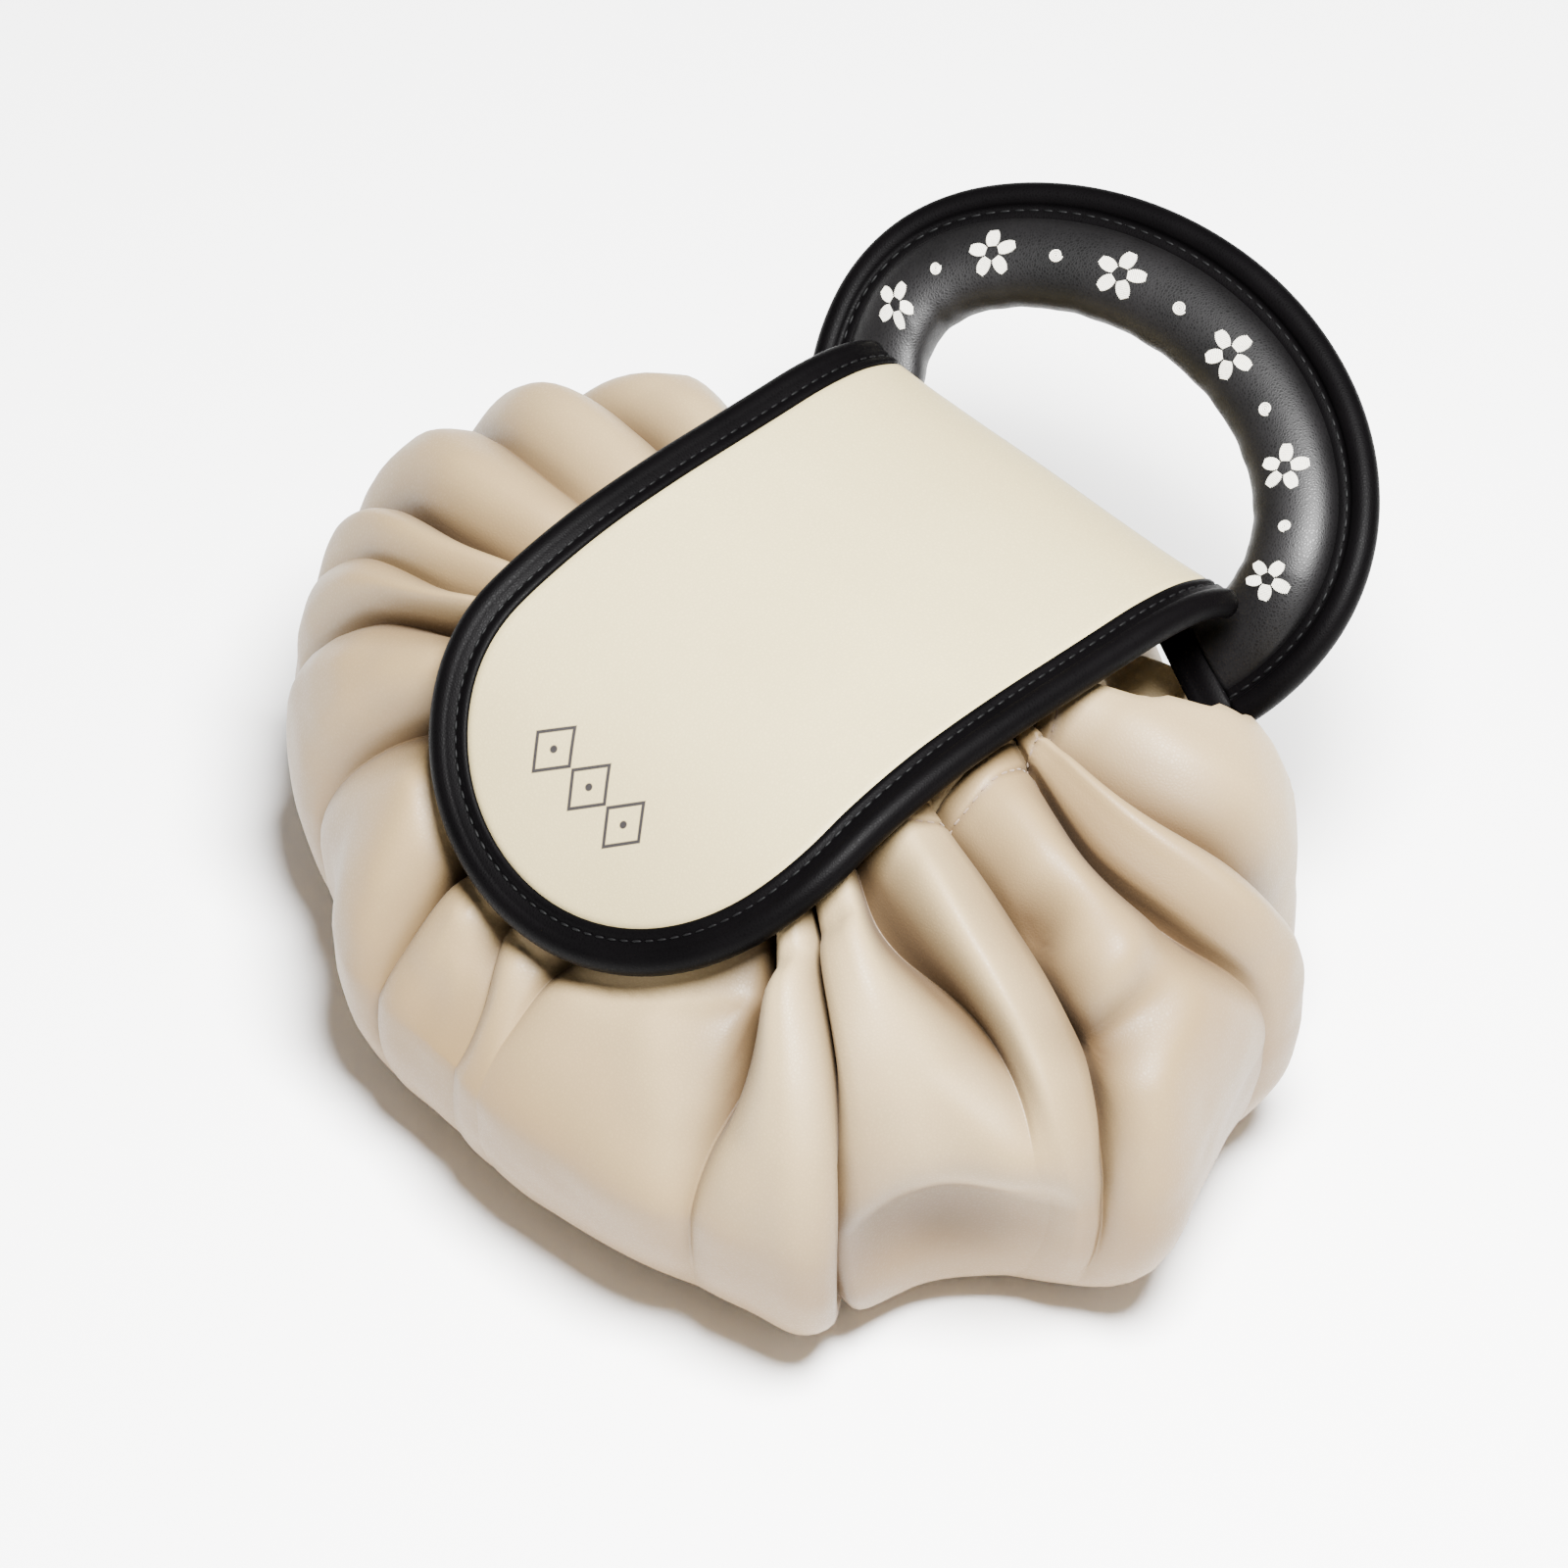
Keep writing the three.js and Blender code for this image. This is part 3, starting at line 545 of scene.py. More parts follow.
# Outline from above: reach and mouth height as shares of the sizes, roundness of the shoulder.
outline = [
    # at, reach, shoulder, height
    (0, 1.13, 2.4, 1), (10, 1.09, 2.5, 1), (20, 1.08, 2.7, 1), (30, 1.01, 3, 1),
    (41, 0.97, 3.2, 0.96), (52, 0.89, 2.2, 0.88), (66, 0.86, 1.9, 0.85), (82, 0.83, 2.6, 0.85),
    (100, 0.85, 2.6, 0.85), (115, 0.93, 2, 0.85), (130, 1.03, 1.8, 0.88), (140, 1.05, 2.3, 0.92),
    (150, 1.02, 2.9, 0.98), (160, 1.07, 3, 1), (170, 1.13, 2.9, 1), (180, 1.14, 2.8, 1),
    (192, 1.12, 2.6, 1), (205, 1.04, 2.3, 1), (220, 0.94, 1.9, 1), (230, 0.89, 1.7, 0.99),
    (240, 0.92, 1.5, 0.98), (250, 0.91, 1.4, 0.97), (260, 0.88, 1.25, 0.955), (275, 0.9, 1.15, 0.95),
    (290, 0.93, 1.3, 0.965), (310, 1.05, 1.8, 0.99), (320, 1.14, 2, 1), (330, 1.03, 2.15, 1),
    (340, 1.06, 2.3, 1), (350, 1.19, 2.3, 1),
]

wallStations = (0.2, 0.5, 0.65, 0.78, 1)  # foot, belly, side, shoulder and mouth, as places along the wall

# Folds: where each valley runs and how deep it is at the mouth, shoulder, side and belly;
# crease is 0 for an open hollow and 1 for a slit; roll is how far the next lobe leans over it,
# a minus roll leans the lobe before; foot is how deep it still is at the foot of the wall.
folds = [
    # at, depth, crease, roll, foot
    ((13, 6.5, 9, 14), (3, 13, 9, 3), 0.8, 1.5, 0),
    ((20, 16.5, 21, 27), (5, 8, 8, 5), 0.7, 0, 0),
    ((51, 54, 56, 57), (6, 10, 8, 3), 0.5, 0, 0),
    ((70, 71, 71, 71), (5, 7, 5, 2), 0.6, 0, 0),
    ((85, 85, 85, 85), (5, 6, 4, 2), 0.6, 0, 0),
    ((103, 103, 103, 103), (5, 6, 4, 2), 0.6, 0, 0),
    ((121, 121, 122, 122), (5, 6, 4, 1), 0.7, 0, 0),
    ((139, 140, 141, 142), (5, 8, 6, 2), 0.8, 0, 0),
    ((158, 159.5, 161, 159), (5, 8, 4, 1), 0.8, 0, 0),
    ((183, 177, 173, 172), (4, 6, 5, 3), 0.7, 0, 0),
    ((203, 195, 188.5, 188), (6, 9, 6, 3), 0.8, 0, 0),
    ((212, 206, 198, 195), (3, 5, 3, 0), 0.6, 0, 0),
    ((219, 213, 207, 203.5), (5, 9, 6, 3), 0.8, 0, 0),
    ((236, 231, 226, 222), (6, 10, 7, 4), 0.8, 0, 0),
    ((256, 253, 252, 251), (5, 11, 9, 5), 0.9, 1, 0),
    ((267, 262, 262, 266), (3, 5, 4, 2), 0.6, 0, 0),
    ((284, 279, 274, 273), (6, 10, 5, 1), 0.8, 0, 0),
    ((305, 306, 306, 304), (5, 13, 11, 5), 0.9, -2, 0),
    ((314, 317, 320, 322), (5, 10, 10, 10), 1, 1.5, 7),
    ((325, 331.5, 338, 341.5), (6, 13, 9, 0), 0.6, 0, 0),
    ((346, 346.5, 346, 346), (6, 13, 12, 7), 0.75, -2.5, 0),
]
folds = [dict(zip(("at", "depth", "crease", "roll", "foot"), row)) for row in folds]

# Soft dents between the folds, a minus depth stands out.
dents = [
    # at, place along the wall, half width of each, depth
    (332, 0.33, 9, 0.11, 12), (339.5, 0.49, 6, 0.08, -6), (9, 0.3, 9, 0.14, 4), (296, 0.36, 8, 0.1, -2.5),
    (351, 0.78, 4.5, 0.03, 8), (353, 0.64, 7, 0.035, 9), (356, 0.7, 6, 0.03, -3), (326, 0.55, 5, 0.12, 2),
    (262, 0.42, 7, 0.12, 3), (236, 0.3, 9, 0.14, 3), (190, 0.42, 10, 0.14, 3),
]


def outlineAt(azimuth, column):
    rows = np.array(outline, float)
    return smoothCurve(rows[:, 0], rows[:, column], azimuth, period=360)


def wallForm(azimuth, t):
    # the smooth wall without folds, t is 0 at the edge of the base and 1 at the mouth
    a = np.radians(azimuth)
    reach = pouch["reach"] * outlineAt(azimuth, 1)
    shoulder = outlineAt(azimuth, 2)
    top = pouch["height"] * outlineAt(azimuth, 3)
    low = np.clip(t / pouch["bellyAt"], 0, 1) * math.pi / 2
    lower = 2 / pouch["lowerRound"]
    lowReach = mix(pouch["baseShare"] * reach, reach, np.sin(low) ** lower)
    lowHeight = pouch["belly"] * (1 - np.clip(np.cos(low), 0, 1) ** lower)
    up = np.clip((t - pouch["bellyAt"]) / (1 - pouch["bellyAt"]), 0, 1)
    s = np.arctan2(up ** (shoulder / 2), (1 - up) ** (shoulder / 2))
    k = np.clip(np.cos(s), 0, 1) ** (2 / shoulder)
    height = mix(pouch["belly"], top, np.sin(s) ** (2 / shoulder))
    x = mix(pouch["mouth"][0] * np.cos(a), reach * np.cos(a), k)
    y = mix(pouch["mouthShift"] + pouch["mouth"][1] * np.sin(a), reach * np.sin(a), k)
    below = t < pouch["bellyAt"]
    return np.stack([
        np.where(below, lowReach * np.cos(a), x),
        np.where(below, lowReach * np.sin(a), y),
        np.where(below, lowHeight, height),
    ], -1)


def wallDirections(azimuth, t):
    step = 0.01
    along = wallForm(azimuth, np.maximum(t - step, 0.001)) - wallForm(azimuth, np.minimum(t + step, 0.999))
    around = wallForm(azimuth + 1, t) - wallForm(azimuth - 1, t)
    return unit(np.cross(along, around)), unit(around)


def foldLine(key, t):
    # azimuth or depth of every fold along the wall
    lines = []
    for fold in folds:
        mouth, shoulder, side, belly = fold[key]
        foot = belly if key == "at" else fold["foot"]
        lines.append(smoothCurve(wallStations, [foot, belly, side, shoulder, mouth], t))
    return np.stack(lines)


def valleyShape(distance, depth, crease, room):
    # how deep the cloth lies at a distance from the fold line: an open bowl or a narrow slit
    s = pouch
    reach = np.minimum(s["valleyStart"] + s["valleyShare"] * depth, room)
    reach = reach * (s["openReach"] - s["creaseReach"] * crease)
    near = np.clip(1 - distance / reach, 0, 1)
    cut = np.clip(1 - distance / (s["cutShare"] * reach), 0, 1)
    bowl = near * near * (3 - 2 * near)
    slit = mix(near ** s["slope"], cut, s["cutDeep"])
    return depth * mix(bowl, slit, crease)


def dentAt(azimuth, t):
    total = np.zeros(np.shape(t))
    for at, along, wide, tall, depth in dents:
        total += depth * np.exp(-(turned(azimuth, at) / wide) ** 2 - ((t - along) / tall) ** 2)
    return total


def leanOf(roll, share, depth):
    # how far a lobe leans over the fold beside it, most at a sixth of its width
    return roll * np.sin(math.pi * min(share * 3, 1)) ** 2 * depth / 10


def shadesOf(azimuth, t, sunk):
    # painted shade: how far the leather's colour is darkened by its folds and seam, and by its place
    folded = shade["most"] * np.clip((sunk - shade["from"]) / shade["over"], 0, 1) ** shade["power"]
    seam = shade["seam"] * np.exp(-((t - pouch["seamAt"]) / shade["seamWide"]) ** 2)
    light = 1 - shade["low"] * np.clip((shade["lowFrom"] - t) / shade["lowOver"], 0, 1) ** shade["lowPower"]
    for middle, wide, much in shade["sides"]:
        light = light * (1 - much * np.exp(-(turned(azimuth, middle) / wide) ** 2))
    return np.stack([1 - (1 - folded) * (1 - seam), 1 - light], -1)


def foldedWall():
    # grid of the outside: rows from the mouth to the edge of the base, a column for each place between folds
    s = pouch
    t = np.linspace(1, 0, s["rows"]) ** s["rowPower"]
    at = foldLine("at", t)
    depth = np.maximum(foldLine("depth", t), 0) * s["deeper"] * np.clip(t / wallStations[0], 0, 1)
    strength = np.clip((t - s["bulgeFrom"]) / s["bulgeOver"], 0, 1)
    swing = np.cos(np.arange(s["columns"]) / s["columns"] * math.pi)
    shares = 0.5 - 0.5 * swing * (1 - s["columnEven"] + s["columnEven"] * np.abs(swing))
    columns, shades = [], []
    for i, fold in enumerate(folds):
        n = (i + 1) % len(folds)
        gap = (at[n] - at[i] + 720) % 360
        for share in shares:
            azimuth = at[i] + gap * share
            place = wallForm(azimuth, t)
            normal, around = wallDirections(azimuth, t)
            laid = pressedByHandle(pressedByFlap(place[None]))[0]
            width = np.radians(gap) * np.hypot(place[:, 0], place[:, 1])
            first = valleyShape(share * width, depth[i], fold["crease"], width * 0.5)
            second = valleyShape((1 - share) * width, depth[n], folds[n]["crease"], width * 0.5)
            dent = dentAt(azimuth, t)
            crown = 1 - abs(2 * share - 1) ** s["crownRound"]
            sink = first + second + dent - crown * s["bulge"] * width * strength
            lean = leanOf(max(fold["roll"], 0), share, depth[i])
            lean = lean + leanOf(min(folds[n]["roll"], 0), 1 - share, depth[n])
            columns.append(laid - normal * sink[:, None] - around * lean[:, None])
            shades.append(shadesOf(azimuth, t, first + second + shade["dent"] * np.maximum(dent, 0)))
    return np.stack(columns, 1), np.stack(shades, 1), t


# Flap: its middle line over the bag, from the sewn end (along 0) to the tip

flap = {
    "halfWidth": 50.5,
    "length": 165,
    "backDrop": 30,
    "rootHalfWidth": 39.5,
    "thickness": 2.4,
    "rootY": 78,
    "rootZ": 101.5,
    "slopes": [
        # along, slope in degrees
        (-30, -82), (-16, -74), (-6, -54), (0, -34), (12, -14), (27, -4),
        (54, -5), (81, 0), (108, 12), (135, 37), (162, 47), (182, 48),
    ],
    "across": 64,
    "rows": (16, 70, 34),  # on the part down the back, the straight part and the round tip
    "puff": 0.9,  # the padding lifts its face, most just inside the binding
    "puffRise": 1.6,
    "puffEdge": 0.55,
    "puffFlat": 4,
    "puffFade": 9,
    "wave": (46, 11, 0.5),
}

binding = {"start": -2, "slot": 0.25, "flange": 3.2, "flangeThick": 1.0, "bead": 3.3, "gap": 0.1}


def flapLineOf():
    step = 0.5
    along = np.arange(-flap["backDrop"], flap["length"] + 12 + step, step)
    slopes = np.array(flap["slopes"], float)
    slope = np.radians(np.interp(along, slopes[:, 0], slopes[:, 1]))
    y = -np.concatenate([[0], np.cumsum(np.cos(slope[:-1]) * step)])
    z = -np.concatenate([[0], np.cumsum(np.sin(slope[:-1]) * step)])
    root = np.argmax(along >= 0)
    return along, y - y[root] + flap["rootY"], z - z[root] + flap["rootZ"], slope


flapLine = flapLineOf()


def flapPoint(across, along, height):
    lineAlong, lineY, lineZ, lineSlope = flapLine
    y = np.interp(along, lineAlong, lineY)
    z = np.interp(along, lineAlong, lineZ)
    slope = np.interp(along, lineAlong, lineSlope)
    return np.stack(np.broadcast_arrays(across, y - np.sin(slope) * height, z + np.cos(slope) * height), -1)


# Handle: a ring section swept in a tilted plane

handle = {
    "x": -2.5,
    "y": 69.5,
    "z": 83,
    "tilt": 32,
    "halfWidth": 60,
    "middle": 23,
    "top": 42,
    "lower": 47,
    "sweep": 110,
    "leftTuck": 12.5,
    "tuckFrom": 50,
    "dropFrom": 66,
    "rightDrop": (-4.9, 4.9, -7.2),  # the ends bend down into the folds
    "leftDrop": (0, 0, -4),
    "padWidth": 20,
    "padThick": 14,
    "endThick": 9,
    "pipingWidth": 8.6,
    "pipingThick": 6.4,
    "pipingGap": 0.1,
    "thinOver": 30,  # degrees of sweep over which the pad thins toward its ends
    "padRound": 0.85,
    "gathers": [(24, 0, 0.1), (41, 1, 0.06)],  # inner edge: how many in a whole turn, phase, height
    "gatherFade": 1.5,
    "stations": 260,
}


def handleLine(sweep):
    s = handle
    a = np.radians(sweep)
    rise = np.where(np.cos(a) > 0, s["top"], s["lower"])
    tuck = s["leftTuck"] * (np.maximum(0, -sweep - s["tuckFrom"]) / (s["sweep"] - s["tuckFrom"])) ** 2
    point = np.stack([s["x"] + tuck + s["halfWidth"] * np.sin(a), s["middle"] + rise * np.cos(a)], -1)
    outward = unit(np.stack([rise * np.sin(a), s["halfWidth"] * np.cos(a)], -1))
    drop = np.where(sweep[..., None] > 0, s["rightDrop"], s["leftDrop"])
    share = np.maximum(0, np.abs(sweep) - s["dropFrom"]) / (s["sweep"] - s["dropFrom"])
    return point, outward, drop * share[..., None] ** 2


def handlePoint(flat, height, bend):
    tilt = math.radians(handle["tilt"])
    y = handle["y"] + flat[..., 1] * math.cos(tilt) - height * math.sin(tilt)
    z = handle["z"] + flat[..., 1] * math.sin(tilt) + height * math.cos(tilt)
    return np.stack([flat[..., 0], y, z], -1) + bend


def handleRings(sweeps, offsets, heights):
    # offsets and heights have a row for each sweep
    point, outward, bend = handleLine(sweeps)
    flat = point[:, None, :] + outward[:, None, :] * offsets[..., None]
    return handlePoint(flat, heights, bend[:, None, :])


# How the wall gives way under the flap and the handle
press = {
    "margin": 4,
    "ramp": 1.3,
    "round": 3,
    "handleMargin": 3,
    "handleRamp": 3,
    "gap": 0.7,
    "bindingTail": 6,  # the binding presses this far past its own end
    "rootGap": 0.6,
    "step": 2.0,
}


def pressedByFlap(points):
    along, lineY, lineZ, slope = flapLine
    curveStart = flap["length"] - flap["halfWidth"]
    out = points.copy()
    for row in out:
        near = np.argmin((row[:, 1, None] - lineY) ** 2 + (row[:, 2, None] - lineZ) ** 2, 1)
        dy = row[:, 1] - lineY[near]
        dz = row[:, 2] - lineZ[near]
        height = dz * np.cos(slope[near]) - dy * np.sin(slope[near])
        beyond = np.maximum(0, -dy * np.cos(slope[near]) - dz * np.sin(slope[near]))
        reach = along[near] + np.where(near == len(along) - 1, beyond, 0) - curveStart
        side = np.hypot(row[:, 0], np.maximum(reach, 0)) - (flap["halfWidth"] + 2 * binding["bead"])
        bare = along[near] < binding["start"] - press["bindingTail"]
        half = np.where(bare, flap["thickness"] / 2, binding["bead"])
        limit = np.maximum(side - press["margin"], 0) * press["ramp"] - half - press["gap"]
        over = 0.5 * (height - limit + np.hypot(height - limit, press["round"]))
        over = np.where(along[near] > press["rootGap"] - flap["backDrop"], over, 0)
        row[:, 1] += np.sin(slope[near]) * over
        row[:, 2] -= np.cos(slope[near]) * over
    return out


def pressedByHandle(points):
    sweeps = np.arange(-handle["sweep"] - 10, handle["sweep"] + 11, press["step"])
    line, flatOutward, bend = handleLine(sweeps)
    middle = handlePoint(line, 0, bend)
    outward = handlePoint(line + flatOutward, 0, bend) - middle
    under = handle["padThick"] / 2 / math.cos(math.radians(handle["tilt"]))
    out = points.copy()
    for row in out:
        dx = row[:, 0, None] - middle[:, 0]
        dy = row[:, 1, None] - middle[:, 1]
        far = np.hypot(dx, dy)
        near = np.argmin(far, 1)
        pick = np.arange(len(row))
        offset = dx[pick, near] * outward[near, 0] + dy[pick, near] * outward[near, 1]
        reach = handle["padWidth"] / 2 + np.where(offset > 0, handle["pipingWidth"], 0)
        ramp = np.maximum(0, far[pick, near] - reach - press["handleMargin"]) * press["handleRamp"]
        lift = np.clip(offset, -reach, reach) * outward[near, 2]
        row[:, 2] = np.minimum(row[:, 2], middle[near, 2] + lift - under - press["gap"] + ramp)
    return out


def softNoise(points, size, seed):
    # a slow unevenness from a few crossed waves
    chance = np.random.default_rng(seed)
    total = np.zeros(points.shape[:-1])
    crossed = 7
    for _ in range(crossed):
        direction = chance.normal(size=3)
        direction /= np.linalg.norm(direction)
        turns = points @ direction * (2 * math.pi / size) * chance.uniform(0.7, 1.4)
        total += np.sin(turns + chance.uniform(0, 6.3))
    return total / crossed


def buildPouch(outside, inside):
    s = pouch
    wall, shades, t = foldedWall()
    fade = np.clip(t / s["wavesOver"], 0, 1)[:, None]
    waves = sum(softNoise(wall, size, seed) * height for size, seed, height in s["waves"])
    wall = wall + unit(wall - [0, 0, s["waveCentre"]]) * (waves * fade)[..., None]
    seam = np.exp(-((t - s["seamAt"]) / s["seamWide"]) ** 2)[:, None, None]
    wall = wall - unit(wall - [0, 0, s["seamCentre"]]) * seam * s["seamDeep"]
    wall = pressedByHandle(pressedByFlap(wall))
    wall[..., 2] = np.maximum(wall[..., 2], 0)
    wall[-1, :, 2] = 0
    rows, columns = wall.shape[:2]
    rings = [wall]
    for i in range(1, s["baseRows"]):
        shrink = 1 - i / s["baseRows"]
        rings.append(wall[-1:] * [shrink, shrink, 0])
    points = np.concatenate(rings).reshape(-1, 3)
    count = len(points) // columns
    faces = gridFaces(count, columns, True)
    points = np.concatenate([points, [[0, 0, 0]]])
    base = (count - 1) * columns
    faces += [(base + j, base + (j + 1) % columns, len(points) - 1) for j in range(columns)]
    piece = meshPiece("pouchSkin", points, faces, outside)
    piece.data.materials.append(inside)
    # painted shade kept on the points for the material: in the folds, dents and seam (hollow) and toward the
    # underside and sides (low); the base gets the full underside shade
    for i, (label, onBase) in enumerate((("hollow", 0), ("low", shade["low"]))):
        values = np.full(len(points), onBase, np.float32)
        values[: rows * columns] = shades[..., i].ravel()
        piece.data.attributes.new(label, "FLOAT", "POINT").data.foreach_set("value", values)
    thick = piece.modifiers.new("cloth", "SOLIDIFY")
    thick.thickness = s["wall"] * mm
    thick.offset = -1
    thick.material_offset = 1
    settle(piece, "pouch_body")
    return piece, wall, t


# Hem and cord

hem = {
    "gap": 0.2,
    "width": 7.6,
    "thick": 4.6,
    "drop": 0.9,
    "exit": (14, 26),  # azimuths between which the cord shows
    "stations": 420,
    "smoothing": 6,
    "corners": (0.7, 0.8),
    "puckers": [(0.1, 0.55), (0.06, 1.3)],  # how much, and the turn from one station to the next
    "cord": 1.7,
    "cordStart": 8,
}


def hemFrames(wall):
    rim = wall[0]
    centre = np.array([0, pouch["mouthShift"], 0])
    inward = unit((centre - rim) * [1, 1, 0])
    line = rim + inward * (hem["gap"] + hem["width"] / 2)
    line[:, 2] -= hem["drop"]
    closed = np.concatenate([line, line[:1]])
    place = np.concatenate([[0], np.cumsum(np.linalg.norm(np.diff(closed, axis=0), axis=1))])
    even = np.linspace(0, place[-1], hem["stations"], endpoint=False)
    line = np.stack([np.interp(even, place, closed[:, i]) for i in range(3)], -1)
    for _ in range(hem["smoothing"]):
        line = line * 0.5 + (np.roll(line, 1, 0) + np.roll(line, -1, 0)) * 0.25
    azimuth = np.degrees(np.arctan2(line[:, 1] - centre[1], line[:, 0])) % 360
    forward = unit(np.roll(line, -1, 0) - np.roll(line, 1, 0))
    outward = unit((line - centre) * [1, 1, 0])
    up = unit(np.cross(outward, forward))
    return line, azimuth, outward, up


def buildHem(frames, material):
    line, azimuth, outward, up = frames
    first, last = hem["exit"]
    order = np.argsort((azimuth - last) % 360)
    order = order[(azimuth[order] - last) % 360 < 360 - (last - first)]
    line, outward, up = line[order], outward[order], up[order]
    a = turnRound(20)
    across = rounded(np.cos(a), hem["corners"][0]) * hem["width"] / 2
    high = rounded(np.sin(a), hem["corners"][1]) * hem["thick"] / 2
    pucker = 1 + sum(much * np.sin(np.arange(len(line)) * turn) for much, turn in hem["puckers"])
    rings = line[:, None] + outward[:, None] * across[None, :, None]
    rings = rings + up[:, None] * (high[None] * pucker[:, None])[..., None]
    return settle(tubePiece("hemRoll", rings, material), "drawstring_casing")


def buildCord(frames, material):
    line, azimuth, outward, up = frames
    order = np.argsort((azimuth - hem["exit"][0] + hem["cordStart"]) % 360)[::2]
    line, outward, up = line[order], outward[order], up[order]
    a = turnRound(10)[None, :, None]
    rings = line[:, None] + (outward[:, None] * np.cos(a) + up[:, None] * np.sin(a)) * (hem["cord"] / 2)
    piece = tubePiece("drawCord", rings, material, closed=True)
    return settle(piece, "drawstring")


# Flap and binding

def buildFlap(material):
    s = flap
    curveStart = s["length"] - s["halfWidth"]
    dropRows, rows, tipRows = s["rows"]
    drop = np.linspace(-s["backDrop"], binding["start"] - press["rootGap"], dropRows)
    straight = np.linspace(binding["start"], curveStart, rows)
    tip = np.radians(np.linspace(2, 88, tipRows))
    along = np.concatenate([drop, straight, curveStart + s["halfWidth"] * np.sin(tip)])[:, None]
    width = np.full((len(along), 1), float(s["halfWidth"]))
    width[:dropRows] = s["rootHalfWidth"]
    width[-tipRows:, 0] *= np.cos(tip)
    across = width * np.sin(np.linspace(-1, 1, s["across"]) * math.pi / 2)
    edge = np.minimum(width - np.abs(across), s["length"] - along)
    radial = np.hypot(across, np.maximum(along - curveStart, 0))
    edge = np.where(along > curveStart, s["halfWidth"] - radial, edge)
    rise = np.clip((edge - binding["flange"] + press["rootGap"]) / s["puffRise"], 0, 1)
    fade = 1 - s["puffEdge"] + s["puffEdge"] * np.exp(-np.maximum(edge - s["puffFlat"], 0) / s["puffFade"])
    along = np.broadcast_to(along, across.shape)
    size, seed, high = s["wave"]
    waves = softNoise(np.stack([across, along, 0 * across], -1), size, seed) * high * rise
    puff = s["puff"] * rise * rise * (3 - 2 * rise) * fade + waves
    half = s["thickness"] / 2
    top = flapPoint(across, along, half + np.where(along < binding["start"], 0, puff))
    bottom = flapPoint(across[:, ::-1], along, np.full(across.shape, -half))
    piece = tubePiece("flapTongue", np.concatenate([top, bottom], 1), material)
    # places on the flap for the print, kept far away on the underside
    away = 999
    for label, over in (("flapAcross", across), ("flapAlong", along)):
        values = np.full(len(piece.data.vertices), away, np.float32)
        values[: 2 * over.size] = np.concatenate([over, np.full(over.shape, away)], 1).ravel()
        piece.data.attributes.new(label, "FLOAT", "POINT").data.foreach_set("value", values)
    return settle(piece, "flap_panel")


def beadArc(middle, radius, degrees, count):
    # from the groove over the top of a bead to its outermost point
    angles = np.radians(np.linspace(degrees, 0, count))
    return [(middle + radius * math.cos(a), radius * math.sin(a)) for a in angles]


def mirrored(half):
    return half + [(offset, -height) for offset, height in half[:-1][::-1]]


def bindingSection():
    # offsets outward from the panel's edge and heights over its middle layer, top half then bottom half
    s = binding
    slot = flap["thickness"] / 2 + s["slot"]
    face = slot + s["flangeThick"]
    middle = s["gap"] + s["bead"]
    # the flange's rolled edge, its flat, then the stitched groove beside the bead
    half = [(-s["flange"], slot), (-s["flange"] - 0.15, slot + 0.5), (-s["flange"] + 0.3, face),
            (-1.6, face + 0.05), (-0.9, face - 0.35), (-0.3, face - 0.3), (0.2, face + 0.2)]
    section = mirrored(half + beadArc(middle, s["bead"], 128, 13))
    return np.array(section + [(s["gap"], -slot), (s["gap"], slot)])


def bindingStations():
    curveStart = flap["length"] - flap["halfWidth"]
    straight = np.linspace(binding["start"], curveStart, 90)
    turn = np.linspace(0, 180, 74)[1:-1]
    along = np.concatenate([straight, np.full(len(turn), curveStart), straight[::-1]])
    degrees = np.concatenate([np.zeros(len(straight)), turn, np.full(len(straight), 180.0)])
    return along, np.radians(degrees)


def bindingPath(offset, height):
    along, a = bindingStations()
    r = flap["halfWidth"] + offset
    return flapPoint(r * np.cos(a), along + r * np.sin(a), height)


def buildBinding(material):
    rings = np.stack([bindingPath(o, h) for o, h in bindingSection()], 1)
    return settle(tubePiece("flapBinding", rings, material), "flap_binding")


# Handle pieces

def ringSweeps():
    return np.linspace(handle["sweep"], -handle["sweep"], handle["stations"])


def padShare(sweep):
    return np.clip((handle["sweep"] - np.abs(sweep)) / handle["thinOver"], 0, 1)


def buildPad(material):
    s = handle
    sweeps = ringSweeps()
    a = turnRound(36)
    thick = mix(s["endThick"], s["padThick"], padShare(sweeps))
    heights = thick[:, None] / 2 * rounded(np.sin(a), s["padRound"])
    gather = sum(high * np.sin(np.radians(sweeps) * count + phase) for count, phase, high in s["gathers"])
    offsets = np.cos(a) * s["padWidth"] / 2 + gather[:, None] * np.clip(-np.cos(a), 0, 1) ** s["gatherFade"]
    piece = tubePiece("handlePad", handleRings(sweeps, offsets, heights), material)
    return settle(piece, "handle_pad")


def buildPiping(material):
    s = handle
    sweeps = ringSweeps()
    bead = s["pipingThick"] / 2
    middle = s["pipingWidth"] - bead
    # the sewn strip beside the pad with its groove, then the bead
    half = [(-1.2, 0.9), (0.0, 1.5), (1.4, 1.5), (1.9, 1.25), (middle - bead * 0.8, 1.7)]
    section = np.array(mirrored(half + beadArc(middle, bead, 140, 12)))
    heights = np.broadcast_to(section[:, 1], (len(sweeps), len(section)))
    offsets = s["padWidth"] / 2 + s["pipingGap"] + np.broadcast_to(section[:, 0], heights.shape)
    piece = tubePiece("handlePiping", handleRings(sweeps, offsets, heights), material)
    return settle(piece, "handle_piping")


tab = {
    "length": 8,
    "thick": 7,
    "inward": 5,
    "outerShare": 0.6,
    "corners": (0.5, 0.6),
    "gap": 0.1,
    "rings": 14,
}


